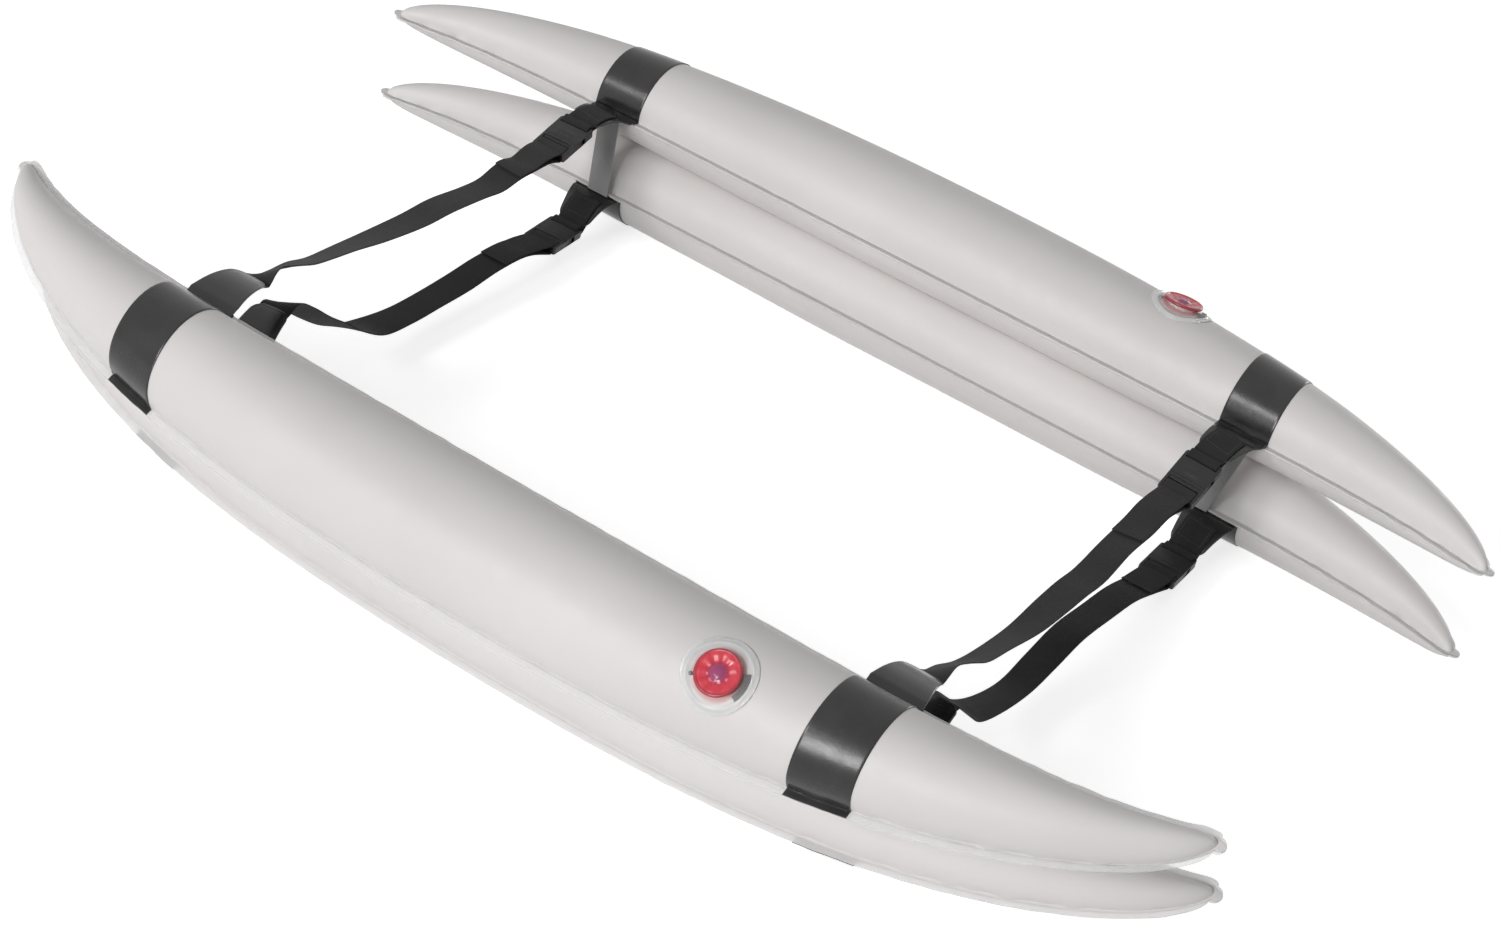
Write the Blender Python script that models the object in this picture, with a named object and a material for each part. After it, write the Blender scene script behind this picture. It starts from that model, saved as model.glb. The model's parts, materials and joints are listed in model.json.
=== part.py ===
"""Inflatable paddleboard stabilizer: two twin-tube pontoons held apart by four adjustable straps.

X runs along the pontoons, Y across them from the near one to the far one, and Z up from the
ground. The origin is the middle of the footprint, on the ground. Lengths are in metres.
"""

import math

import bmesh
import bpy
from mathutils import Matrix, Vector

# Pontoon tubes
TUBE_HALF_LENGTH = 0.750
TUBE_HALF_WIDTH = 0.0720
TUBE_HALF_HEIGHT = 0.0645
WIDTH_TAPER = (2.6, 0.80)
HEIGHT_TAPER = (2.1, 0.456)
TIP_BLUNTNESS = 0.0100
TIP_GROWTH = 8
TIP_CLOSURE = 50
TIP_ROUNDNESS = 1.2
SEAM_LEAN = {"upper": 7.0, "lower": 0.0}
STACK_HEIGHT = 0.1110
INWARD_SWEEP = ((2, 0.031), (4, 0.058), (8, 0.011), (20, 0.009))
FILM = 0.0010
FLANGE = 0.0090
CAVITY_END = 0.985
NEAR_LEFT_TIP_TRIM = 0.048
TIP_TRIM_POWER = 7

# How the pontoons stand
SPACING = 0.880
ROLL = {"near": 31.0, "far": 0.5}
REST_CUT = 0.0005

# Vinyl bands round the tubes and webbing risers between the tubes
BAND_X = {"near": 0.422, "far": 0.437}
BAND_WIDTH = 0.063
BAND = 0.0010
RISER_WIDTH = 0.030
RISER_SEAT = 0.0014
RISER_SHIFT = {
    ("left", "upper"): -0.003,
    ("left", "lower"): 0.003,
    ("right", "upper"): 0.004,
    ("right", "lower"): -0.021,
}

# Vinyl tabs that carry the straps
TAB = 0.0020
TAB_ROOT_WIDTH = 0.062
TAB_END_WIDTH = 0.042
TAB_LENGTH = {"near": 0.066, "far": 0.050}
TAB_ROOT_OVERLAP = 0.006
TAB_LIP = (0.002, 0.006)
TAB_CROWN = 0.006
SEWN_END = 0.004

# Webbing and side-release buckles
WEBBING_WIDTH = 0.038
WEBBING = 0.0015
BUCKLE_WIDTH = 0.046
BUCKLE_THICKNESS = 0.0115
BUCKLE_WALL = 0.0020
FEMALE_LENGTH = 0.036
MALE_FRAME_LENGTH = 0.0256
BAR = 0.0038
SLOT = 0.0056
SOCKET_DEPTH = 0.0250
WINDOW_START = 0.0060
WINDOW_LENGTH = 0.0140
ARM_THICKNESS = 0.0030
ARM_HEIGHT = 0.0060
ARM_LENGTH = 0.0215
BARB = 0.0026
GUIDE_WIDTH = 0.0070
LOOP_REACH = 0.010
LOOP_SLACK = 0.003

# Inflation valves
VALVE_X = 0.295
VALVE_ANGLE = 76.0
VALVE_FLANGE_RADIUS = 0.0375
VALVE_FLANGE = 0.0008
BARREL_RADIUS = 0.0110
BORE_RADIUS = 0.0095
BARREL_DEPTH = 0.0140
COLLAR_RADIUS = 0.0170
COLLAR_HEIGHT = 0.0035
CAP_RADIUS = 0.0235
CAP_THICKNESS = 0.0045
SPIGOT_DEPTH = 0.0070
FLAP_RADIUS = 0.0105
FLAP = 0.0010
HOLE_CLEARANCE = 0.0012

# Clearances between neighbouring pieces
GAP = 0.0003
RUNNING_GAP = 0.0004

# Fineness of the curved surfaces
DOME_STEPS = 8
HALF_STATIONS = 7
VALVE_STEPS = 16
ROUTE_STEPS = 2

SIDE_SIGN = {"near": -1, "far": 1}
LEVEL_SIGN = {"upper": 1, "lower": -1}
END_SIGN = {"left": -1, "right": 1}

# Tab directions: shift along X and rise per unit of reach towards the other pontoon
TAB_AIM = {
    ("near", "left", "upper"): (-0.06, -0.06),
    ("near", "right", "upper"): (-0.04, -0.28),
    ("near", "left", "lower"): (-0.12, 0.62),
    ("near", "right", "lower"): (0.00, 0.26),
    ("far", "left", "upper"): (-0.15, 0.05),
    ("far", "right", "upper"): (-0.20, -0.22),
    ("far", "left", "lower"): (0.05, -0.62),
    ("far", "right", "lower"): (-0.12, -0.78),
}

# Buckle directions from the far tab towards the strap, given in the same way
BUCKLE_AIM = {
    ("left", "upper"): (0.04, -0.26),
    ("right", "upper"): (-0.04, -0.42),
    ("left", "lower"): (0.06, -0.02),
    ("right", "lower"): (0.02, -0.02),
}

# Strap routes: share of the way across, rise above the straight line, twist in degrees
STRAP_ROUTE = {
    ("left", "upper"): (
        (0.035, 0.003, 36),
        (0.080, 0.000, 34),
        (0.140, -0.004, 22),
        (0.200, -0.008, 24),
        (0.280, -0.009, 20),
        (0.380, -0.011, 12),
        (0.510, -0.011, 5),
        (0.610, -0.007, 3),
        (0.720, -0.008, 6),
        (0.790, -0.008, 2),
        (0.855, 0.001, -4),
        (0.910, 0.001, 4),
        (0.960, 0.004, 0),
    ),
    ("left", "lower"): (
        (0.030, 0.003, 22),
        (0.080, -0.009, 29),
        (0.145, -0.026, 28),
        (0.215, -0.041, 27),
        (0.275, -0.051, 14),
        (0.370, -0.057, -6),
        (0.470, -0.051, -2),
        (0.570, -0.039, 0),
        (0.680, -0.024, -2),
        (0.790, -0.006, 0),
        (0.900, 0.005, 0),
    ),
    ("right", "upper"): (
        (0.050, -0.004, 34),
        (0.110, -0.013, 32),
        (0.190, -0.029, 28),
        (0.280, -0.035, 28),
        (0.400, -0.039, 20),
        (0.500, -0.033, 10),
        (0.580, -0.028, 6),
        (0.660, -0.026, 6),
        (0.750, -0.011, 10),
        (0.840, -0.003, 4),
        (0.910, 0.007, 0),
    ),
    ("right", "lower"): (
        (0.050, -0.012, -4),
        (0.130, -0.037, -8),
        (0.240, -0.047, 4),
        (0.360, -0.045, 12),
        (0.460, -0.027, 8),
        (0.570, -0.006, 6),
        (0.700, 0.003, 6),
        (0.810, 0.009, 4),
        (0.910, 0.006, 0),
    ),
}
TAIL_LENGTH = {
    ("left", "upper"): 0.088,
    ("right", "upper"): 0.118,
    ("left", "lower"): 0.100,
    ("right", "lower"): 0.060,
}
TAIL_LIFT = 0.0012
TURN_ROUND = 0.0010

# Colours, roughness and metallic values
VINYL_PALE = ((0.74, 0.73, 0.72), 0.35, 0.0)
VINYL_DARK = ((0.045, 0.045, 0.048), 0.22, 0.0)
WEBBING_BLACK = ((0.020, 0.020, 0.021), 0.85, 0.0)
WEBBING_GREY = ((0.150, 0.150, 0.153), 0.80, 0.0)
BUCKLE_BLACK = ((0.018, 0.018, 0.019), 0.40, 0.0)
CLEAR_VINYL = ((0.85, 0.85, 0.86), 0.15, 0.0)
CAP_RED = ((0.80, 0.035, 0.040), 0.30, 0.0)


def clear_scene():
    for thing in list(bpy.data.objects):
        bpy.data.objects.remove(thing, do_unlink=True)


def material(name, look):
    colour, roughness, metallic = look
    made = bpy.data.materials.new(name)
    made.use_nodes = True
    shader = made.node_tree.nodes["Principled BSDF"]
    shader.inputs["Base Color"].default_value = (*colour, 1.0)
    shader.inputs["Roughness"].default_value = roughness
    shader.inputs["Metallic"].default_value = metallic
    return made


def empty(name, location=(0, 0, 0), turn_x=0.0):
    made = bpy.data.objects.new(name, None)
    bpy.context.collection.objects.link(made)
    made.location = location
    made.rotation_euler = (turn_x, 0, 0)
    return made


def add_object(name, shape, look, parent, place=None, sharp_degrees=32):
    """Turn a bmesh into a named object with its own material, under its parent empty."""
    bmesh.ops.recalc_face_normals(shape, faces=shape.faces)
    mesh = bpy.data.meshes.new(name)
    shape.to_mesh(mesh)
    shape.free()
    mesh.shade_smooth()
    mesh.set_sharp_from_angle(angle=math.radians(sharp_degrees))
    mesh.materials.append(material(name, look))
    made = bpy.data.objects.new(name, mesh)
    bpy.context.collection.objects.link(made)
    made.parent = parent
    if place is not None:
        made.matrix_local = place
    return made


def loft(shape, loops, shell=False):
    """Skin equal closed loops of points one after another and close both ends.

    A shell's loops go out along one face and back along the other, and both faces are folded along
    matching diagonals, so a thin shell keeps its thickness.
    """
    rings = [[shape.verts.new(point) for point in loop] for loop in loops]
    for one, two in zip(rings, rings[1:]):
        for index in range(len(one)):
            after = (index + 1) % len(one)
            corners = (one[index], one[after], two[after], two[index])
            if not shell:
                shape.faces.new(corners)
                continue
            if index >= len(one) // 2:
                corners = corners[1:] + corners[:1]
            shape.faces.new(corners[:3])
            shape.faces.new((corners[0], corners[2], corners[3]))
    shape.faces.new(rings[0][::-1])
    shape.faces.new(rings[-1])


# Tube shape: x is the station along the pontoon, u points away from the other pontoon, w up.


def share(x):
    return min(1.0, abs(x) / TUBE_HALF_LENGTH)


def tube_half_height_of(x):
    power, fullness = HEIGHT_TAPER
    height = TUBE_HALF_HEIGHT * (1 - share(x) ** power) ** fullness
    return min(height, TIP_ROUNDNESS * tube_half_width_of(x))


def tube_half_width_of(x):
    power, fullness = WIDTH_TAPER
    body = TUBE_HALF_WIDTH * (1 - share(x) ** power) ** fullness
    return body + TIP_BLUNTNESS * share(x) ** TIP_GROWTH * math.sqrt(1 - share(x) ** TIP_CLOSURE)


def sweep_of(x):
    return sum(amount * share(x) ** power for power, amount in INWARD_SWEEP)


def along(x, side):
    """The real place of station x; the near pontoon's left tip is a little shorter."""
    if side == "near" and x < 0:
        return x + NEAR_LEFT_TIP_TRIM * share(x) ** TIP_TRIM_POWER
    return x


def flange_edge_of(x):
    if abs(x) <= TUBE_HALF_LENGTH:
        return tube_half_width_of(x) + FLANGE
    past = abs(x) - TUBE_HALF_LENGTH
    return math.sqrt(FLANGE**2 - past**2)


def stations(side):
    """Stations along a tube: close together near the tips, with one at each band edge."""
    reach = CAVITY_END * TUBE_HALF_LENGTH
    half = [reach * math.sin(math.radians(90 * i / HALF_STATIONS)) for i in range(1, HALF_STATIONS + 1)]
    middle = BAND_X[side]
    edges = [middle - BAND_WIDTH / 2, middle, middle + BAND_WIDTH / 2]
    half = [x for x in half if min(abs(x - edge) for edge in edges) > 0.5 * BAND_WIDTH]
    tip = [TUBE_HALF_LENGTH + part * FLANGE for part in (0.0, 0.6, 0.92)]
    half = sorted(half + edges + tip)
    return [-x for x in reversed(half)] + [0.0] + half


def dome(half_width, half_height, base, lean, limit):
    """Arch across an ellipse, ending at seams that lie lean degrees below its widest places."""
    start = -math.radians(lean)
    points = []
    for step in range(DOME_STEPS + 1):
        angle = start + (math.pi - 2 * start) * step / DOME_STEPS
        height = base if step in (0, DOME_STEPS) else max(base, half_height * math.sin(angle))
        points.append((half_width * math.cos(angle), min(limit, height)))
    return points


def seam_height(x, lean):
    """Height of a tube half's seam against the tube's centre, towards the half's own crown."""
    return -tube_half_height_of(x) * math.sin(math.radians(lean))


def shell_loop(x, level, half, cover=0.0):
    """Cross-section of one tube half's film, or with a cover's thickness that of a band on it."""
    lean = SEAM_LEAN[level] if half == LEVEL_SIGN[level] else -SEAM_LEAN[level]
    limit = 1.0 if half == LEVEL_SIGN[level] else (STACK_HEIGHT - GAP) / 2
    thickness = cover or FILM
    grow = GAP + cover if cover else 0.0
    edge = flange_edge_of(x)
    base_out = seam_height(x, lean) + GAP / 2 + FILM + grow
    base_in = base_out - thickness
    if abs(x) >= TUBE_HALF_LENGTH:
        turns = [math.pi * step / DOME_STEPS for step in range(DOME_STEPS + 1)]
        outer = [(0.6 * edge * math.cos(turn), base_out) for turn in turns]
        inner = [(0.8 * across, base_in) for across, height in outer]
    else:
        width, height = tube_half_width_of(x) + grow, tube_half_height_of(x) + grow
        outer = dome(width, height, base_out, lean, limit + grow)
        inner = dome(width - thickness, height - thickness, base_in, lean, limit + grow - thickness)
    left_rim = [(-edge, base_out), (-edge, base_in)]
    return [(edge, base_out)] + outer + left_rim + inner[::-1] + [(edge, base_in)]


def place_loop(x, side, level, half, loop):
    """Move a cross-section loop to its tube, in the pontoon's own frame."""
    centre = -sweep_of(x)
    height = LEVEL_SIGN[level] * STACK_HEIGHT / 2
    return [(along(x, side), SIDE_SIGN[side] * (centre + u), height + half * w) for u, w in loop]


def panel_shape(side, level, half):
    shape = bmesh.new()
    loops = [place_loop(x, side, level, half, shell_loop(x, level, half)) for x in stations(side)]
    loft(shape, loops, shell=True)
    return shape


def roll_of(side):
    """Turn about X that leans the pontoon's lower tube towards the other pontoon."""
    return -SIDE_SIGN[side] * math.radians(ROLL[side])


def world_height(side, point):
    turn = roll_of(side)
    return math.sin(turn) * point[1] + math.cos(turn) * point[2]


def world_across(side, point):
    turn = roll_of(side)
    return math.cos(turn) * point[1] - math.sin(turn) * point[2]


def skin_points(side, level):
    """Points of a tube's outer panel, in the pontoon's frame."""
    half = LEVEL_SIGN[level]
    loops = (place_loop(x, side, level, half, shell_loop(x, level, half)) for x in stations(side))
    return [point for loop in loops for point in loop]


def lowest(side):
    return min(world_height(side, point) for point in skin_points(side, "lower"))


def stand_height(side):
    return -lowest(side) - REST_CUT


def outermost(side):
    points = skin_points(side, "upper") + skin_points(side, "lower")
    return max(SIDE_SIGN[side] * world_across(side, point) for point in points) + SPACING / 2


def cross_shift():
    """Shift along Y that puts the origin midway between the two outer sides."""
    return (outermost("near") - outermost("far")) / 2


def cut_rest_flat(shape, side):
    """Slice a small level flat where the lowest tube meets the ground."""
    turn = roll_of(side)
    up = Vector((0, math.sin(turn), math.cos(turn)))
    cut = up * (lowest(side) + REST_CUT)
    geometry = shape.verts[:] + shape.edges[:] + shape.faces[:]
    bmesh.ops.bisect_plane(shape, geom=geometry, dist=1e-7, plane_co=cut, plane_no=up, clear_inner=True)
    bmesh.ops.holes_fill(shape, edges=[edge for edge in shape.edges if edge.is_boundary], sides=0)


def pontoon_matrix(side):
    shift = SIDE_SIGN[side] * SPACING / 2 + cross_shift()
    return Matrix.Translation((0, shift, stand_height(side))) @ Matrix.Rotation(roll_of(side), 4, "X")


# Pieces on each pontoon


def add_panels(side, frame):
    for level in LEVEL_SIGN:
        for face, half in (("top", 1), ("bottom", -1)):
            shape = panel_shape(side, level, half)
            if level == "lower" and half == -1:
                cut_rest_flat(shape, side)
            panel = add_object(f"{side}_{level}_tube_{face}_panel", shape, VINYL_PALE, frame)
            if level == "upper" and half == 1:
                cut_valve_hole(panel, side, frame)


def add_bands(side, end, frame):
    """One band over the upper tube and one under the lower tube, welded to the seam flanges."""
    middle = END_SIGN[end] * BAND_X[side]
    for level in LEVEL_SIGN:
        half = LEVEL_SIGN[level]
        spots = [middle - BAND_WIDTH / 2, middle, middle + BAND_WIDTH / 2]
        shape = bmesh.new()
        loops = [place_loop(x, side, level, half, shell_loop(x, level, half, BAND)) for x in spots]
        loft(shape, loops, shell=True)
        add_object(f"{side}_{end}_{level}_band", shape, VINYL_DARK, frame)


def flange_tip(side, end, level):
    """Inner edge of a tube's seam flange at a band, in the pontoon's frame."""
    x = END_SIGN[end] * BAND_X[side]
    inner = -sweep_of(x) - flange_edge_of(x)
    height = LEVEL_SIGN[level] * (STACK_HEIGHT / 2 + seam_height(x, SEAM_LEAN[level]))
    return Vector((along(x, side), SIDE_SIGN[side] * inner, height))


def ribbon(shape, path, widths, thickness, sides, twisted=False):
    """Flat strip along a path: sides are the directions of its width at each point."""
    loops = []
    for index, point in enumerate(path):
        behind = (point - path[index - 1]).normalized() if index else Vector()
        ahead = (path[index + 1] - point).normalized() if index < len(path) - 1 else Vector()
        tangent = (behind + ahead).normalized()
        mitre = 1 / max(0.6, tangent.dot(ahead if index == 0 else behind))
        across = (sides[index] - tangent * sides[index].dot(tangent)).normalized()
        normal = across.cross(tangent)
        half_width, half_thick = across * widths[index] / 2, normal * mitre * thickness / 2
        corners = (half_width + half_thick, half_thick - half_width)
        loops.append([point + corners[0], point + corners[1], point - corners[0], point - corners[1]])
    loft(shape, loops, shell=twisted)


def add_riser(side, end, frame):
    """Slanting webbing riser welded to the inner seam flanges of the upper and lower tube."""
    middle = END_SIGN[end] * BAND_X[side]
    spots = {level: middle + RISER_SHIFT[(end, level)] for level in LEVEL_SIGN}
    edges = [spot + part * RISER_WIDTH / 2 for spot in spots.values() for part in (-1, 1)]
    reach = max(sweep_of(x) + flange_edge_of(x) for x in edges)
    face, back = (-SIDE_SIGN[side] * (reach + GAP + depth) for depth in (0, WEBBING))
    loops = []
    for level, sign in LEVEL_SIGN.items():
        height = flange_tip(side, end, level).z + sign * RISER_SEAT
        left, right = (along(spots[level], side) + part * RISER_WIDTH / 2 for part in (-1, 1))
        corners = ((left, face), (right, face), (right, back), (left, back))
        loops.append([Vector((x, y, height)) for x, y in corners])
    shape = bmesh.new()
    loft(shape, loops)
    add_object(f"{side}_{end}_riser", shape, WEBBING_GREY, frame)


def to_world(side, point):
    return pontoon_matrix(side) @ point


def tab_path(side, end, level):
    """Centre line of a vinyl tab in world space, from its weld on the flange to its free end."""
    sign = SIDE_SIGN[side]
    half = LEVEL_SIGN[level]
    lift = half * (GAP / 2 + FILM + GAP + BAND + GAP + TAB / 2)
    edge = flange_tip(side, end, level)
    root = to_world(side, edge + Vector((0, sign * TAB_ROOT_OVERLAP, lift)))
    start, lip = (to_world(side, edge + Vector((0, -sign * past, lift))) for past in TAB_LIP)
    reach = TAB_LENGTH[side]
    shift, rise = TAB_AIM[(side, end, level)]
    inward = Vector((shift, -sign, rise)).normalized()
    bow = Vector((0, 0, TAB_CROWN))
    points = [root, start, lip]
    for part in (0.25, 0.5, 0.75, 1.0):
        points.append(lip + inward * reach * part + bow * 4 * part * (1 - part))
    return points


def add_tab(side, end, level):
    path = tab_path(side, end, level)
    taper = TAB_ROOT_WIDTH - TAB_END_WIDTH
    widths = [TAB_ROOT_WIDTH] * 3 + [TAB_ROOT_WIDTH - taper * part for part in (0.3, 0.6, 0.85, 1.0)]
    shape = bmesh.new()
    ribbon(shape, path, widths, TAB, [Vector((1, 0, 0))] * len(path))
    add_object(f"{side}_{end}_{level}_tab", shape, VINYL_DARK, None)


# Valves


def skin_point(side, x, angle):
    """Point and outward direction on the upper tube's outer face, in the pontoon's frame."""
    width, height = tube_half_width_of(x), tube_half_height_of(x)
    turn = math.radians(angle)
    u = -sweep_of(x) + width * math.cos(turn)
    w = STACK_HEIGHT / 2 + height * math.sin(turn)
    out = Vector((0, SIDE_SIGN[side] * math.cos(turn) / width, math.sin(turn) / height)).normalized()
    return Vector((along(x, side), SIDE_SIGN[side] * u, w)), out


def valve_matrix(side):
    """Valve frame: X along the pontoon, Z out of the tube."""
    centre, out = skin_point(side, VALVE_X, VALVE_ANGLE)
    ahead = Vector((1, 0, 0))
    return Matrix.Translation(centre) @ Matrix((ahead, out.cross(ahead), out)).transposed().to_4x4()


def drop_to_skin(side, point, out):
    """Slide a point along -out until it lies on the tube's smooth outer face."""
    width, height = tube_half_width_of(point.x), tube_half_height_of(point.x)
    u = SIDE_SIGN[side] * point.y + sweep_of(point.x)
    w = point.z - STACK_HEIGHT / 2
    du, dw = SIDE_SIGN[side] * out.y, out.z
    a = (du / width) ** 2 + (dw / height) ** 2
    b = -2 * (u * du / width**2 + w * dw / height**2)
    c = (u / width) ** 2 + (w / height) ** 2 - 1
    slide = (-b - math.sqrt(b * b - 4 * a * c)) / (2 * a)
    return point - out * slide


def valve_base_shape(side):
    """Clear moulding: a flange that hugs the tube, a collar, and a barrel through the film."""
    place = valve_matrix(side)
    back = place.inverted()
    out = place.to_3x3() @ Vector((0, 0, 1))
    seat = 2 * GAP
    rise = COLLAR_HEIGHT
    middle_radius = (COLLAR_RADIUS + VALVE_FLANGE_RADIUS) / 2
    profile = [
        (BORE_RADIUS, -BARREL_DEPTH, False),
        (BARREL_RADIUS, -BARREL_DEPTH, False),
        (BARREL_RADIUS, seat, True),
        (COLLAR_RADIUS, seat, True),
        (middle_radius, seat, True),
        (VALVE_FLANGE_RADIUS, seat, True),
        (VALVE_FLANGE_RADIUS, seat + VALVE_FLANGE, True),
        (middle_radius, seat + VALVE_FLANGE, True),
        (COLLAR_RADIUS, seat + VALVE_FLANGE, True),
        (COLLAR_RADIUS, rise, False),
        (BORE_RADIUS, rise, False),
    ]
    shape = bmesh.new()
    rings = []
    for step in range(VALVE_STEPS):
        turn = 2 * math.pi * step / VALVE_STEPS
        ring = []
        for radius, height, hugging in profile:
            point = Vector((radius * math.cos(turn), radius * math.sin(turn), height))
            if hugging:
                flat = place @ Vector((point.x, point.y, 0))
                point = back @ (drop_to_skin(side, flat, out) + out * height)
            ring.append(shape.verts.new(point))
        rings.append(ring)
    for step, ring in enumerate(rings):
        after = rings[(step + 1) % VALVE_STEPS]
        for index in range(len(ring)):
            nxt = (index + 1) % len(ring)
            shape.faces.new((ring[index], ring[nxt], after[nxt], after[index]))
    return shape


def turned(profile, steps=VALVE_STEPS):
    """Solid of revolution about Z from a profile that starts and ends on the axis."""
    shape = bmesh.new()
    verts = [shape.verts.new((radius, 0, height)) for radius, height in profile]
    edges = [shape.edges.new(pair) for pair in zip(verts, verts[1:])]
    turn = {"angle": 2 * math.pi, "steps": steps, "use_merge": True, "use_duplicate": False}
    bmesh.ops.spin(shape, geom=verts + edges, cent=(0, 0, 0), axis=(0, 0, 1), **turn)
    bmesh.ops.remove_doubles(shape, verts=shape.verts, dist=1e-6)
    return shape


def cap_shape():
    """Cap with a plug spigot that fits the valve's bore."""
    bottom = COLLAR_HEIGHT + GAP
    top = bottom + CAP_THICKNESS
    radius = CAP_RADIUS
    plug = BORE_RADIUS - GAP
    profile = [
        (0, top),
        (0.42 * radius, top),
        (0.92 * radius, top - 0.12 * CAP_THICKNESS),
        (radius, top - 0.45 * CAP_THICKNESS),
        (radius, bottom),
        (plug, bottom),
        (plug, -SPIGOT_DEPTH),
        (0, -SPIGOT_DEPTH),
    ]
    return turned(profile)


def flap_shape():
    top = -BARREL_DEPTH - GAP
    return turned([(0, top), (FLAP_RADIUS, top), (FLAP_RADIUS, top - FLAP), (0, top - FLAP)])


def cut_valve_hole(panel, side, frame):
    """Hole in the film for the valve barrel."""
    radius = BARREL_RADIUS + HOLE_CLEARANCE
    reach = 0.012
    shape = turned([(0, reach), (radius, reach), (radius, -reach), (0, -reach)])
    cutter = add_object(f"{side}_hole_guide", shape, CLEAR_VINYL, frame, valve_matrix(side))
    cutter.hide_render = True
    cutter.display_type = "WIRE"
    hole = panel.modifiers.new("valve_hole", "BOOLEAN")
    hole.operation = "DIFFERENCE"
    hole.object = cutter


def add_valve(side, frame):
    place = valve_matrix(side)
    add_object(f"{side}_valve_base", valve_base_shape(side), CLEAR_VINYL, frame, place)
    add_object(f"{side}_valve_cap", cap_shape(), CAP_RED, frame, place)
    hinge = Matrix.Translation((-FLAP_RADIUS, 0, -BARREL_DEPTH - GAP))
    flap = flap_shape()
    bmesh.ops.transform(flap, matrix=hinge.inverted(), verts=flap.verts)
    add_object(f"{side}_valve_flap", flap, CLEAR_VINYL, frame, place @ hinge)


# Buckles: X across the webbing, Y from the tab side to the strap side, Z out of the top face


def cell_solid(xs, ys, zs, filled):
    """Closed solid of the filled cells of a grid, given the grid lines on each axis."""
    shape = bmesh.new()
    corner = {}
    counts = (len(xs) - 1, len(ys) - 1, len(zs) - 1)

    def vert(i, j, k):
        if (i, j, k) not in corner:
            corner[(i, j, k)] = shape.verts.new((xs[i], ys[j], zs[k]))
        return corner[(i, j, k)]

    def is_filled(cell):
        if any(not 0 <= place < count for place, count in zip(cell, counts)):
            return False
        centre = [(line[n] + line[n + 1]) / 2 for line, n in zip((xs, ys, zs), cell)]
        return filled(*centre)

    faces = {
        (-1, 0, 0): ((0, 0, 0), (0, 0, 1), (0, 1, 1), (0, 1, 0)),
        (1, 0, 0): ((1, 0, 0), (1, 1, 0), (1, 1, 1), (1, 0, 1)),
        (0, -1, 0): ((0, 0, 0), (1, 0, 0), (1, 0, 1), (0, 0, 1)),
        (0, 1, 0): ((0, 1, 0), (0, 1, 1), (1, 1, 1), (1, 1, 0)),
        (0, 0, -1): ((0, 0, 0), (0, 1, 0), (1, 1, 0), (1, 0, 0)),
        (0, 0, 1): ((0, 0, 1), (1, 0, 1), (1, 1, 1), (0, 1, 1)),
    }
    for i in range(counts[0]):
        for j in range(counts[1]):
            for k in range(counts[2]):
                if not is_filled((i, j, k)):
                    continue
                for (di, dj, dk), corners in faces.items():
                    if not is_filled((i + di, j + dj, k + dk)):
                        shape.faces.new([vert(i + a, j + b, k + c) for a, b, c in corners])
    bmesh.ops.dissolve_limit(
        shape, angle_limit=math.radians(1), verts=shape.verts, edges=shape.edges
    )
    return shape


def female_shape():
    """Socket half: a webbing slot behind a bar, then a mouth with a window in each side."""
    half, thick, wall = BUCKLE_WIDTH / 2, BUCKLE_THICKNESS / 2, BUCKLE_WALL
    mouth = FEMALE_LENGTH - SOCKET_DEPTH
    slot_half = WEBBING_WIDTH / 2 + RUNNING_GAP
    window = (mouth + WINDOW_START, mouth + WINDOW_START + WINDOW_LENGTH)

    def filled(x, y, z):
        in_slot = BAR < y < BAR + SLOT and abs(x) < slot_half
        in_socket = y > mouth and abs(x) < half - wall and abs(z) < thick - wall
        in_window = window[0] < y < window[1] and abs(x) > half - wall and abs(z) < thick - wall
        return not (in_slot or in_socket or in_window)

    xs = [-half, -half + wall, -slot_half, slot_half, half - wall, half]
    ys = [0, BAR, BAR + SLOT, mouth, *window, FEMALE_LENGTH]
    zs = [-thick, -thick + wall, thick - wall, thick]
    return cell_solid(xs, ys, zs, filled)


def male_shape():
    """Strap half: a two-slot frame for the webbing and a guide tongue into the socket."""
    half, thick = BUCKLE_WIDTH / 2, BUCKLE_THICKNESS / 2
    slot_half = WEBBING_WIDTH / 2 + RUNNING_GAP
    body = MALE_FRAME_LENGTH - 3 * BAR - 2 * SLOT
    start = FEMALE_LENGTH + GAP
    slots = [start + body + BAR, start + body + BAR + SLOT]
    slots += [slots[1] + BAR, slots[1] + BAR + SLOT]
    end = start + MALE_FRAME_LENGTH
    tongue = start - (SOCKET_DEPTH - 3 * RUNNING_GAP)
    bar_thick = thick - WEBBING - 2 * RUNNING_GAP

    def filled(x, y, z):
        if y < start:
            return abs(x) < GUIDE_WIDTH / 2 and abs(z) < ARM_HEIGHT / 2
        if y < start + body:
            return True
        in_slot = slots[0] < y < slots[1] or slots[2] < y < slots[3]
        on_bar = abs(x) < slot_half
        return not on_bar or (abs(z) < bar_thick and not in_slot)

    xs = [-half, -slot_half, -GUIDE_WIDTH / 2, GUIDE_WIDTH / 2, slot_half, half]
    ys = [tongue, start, start + body, *slots, end]
    zs = [-thick, -bar_thick, -ARM_HEIGHT / 2, ARM_HEIGHT / 2, bar_thick, thick]
    return cell_solid(xs, ys, sorted(set(zs)), filled)


def arm_pivot(hand):
    """Where an arm flexes: at its root on the strap half, near the socket's side wall."""
    inset = BUCKLE_WIDTH / 2 - BUCKLE_WALL - RUNNING_GAP - BARB - ARM_THICKNESS / 2
    return Vector((hand * inset, FEMALE_LENGTH - GAP, 0))


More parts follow.
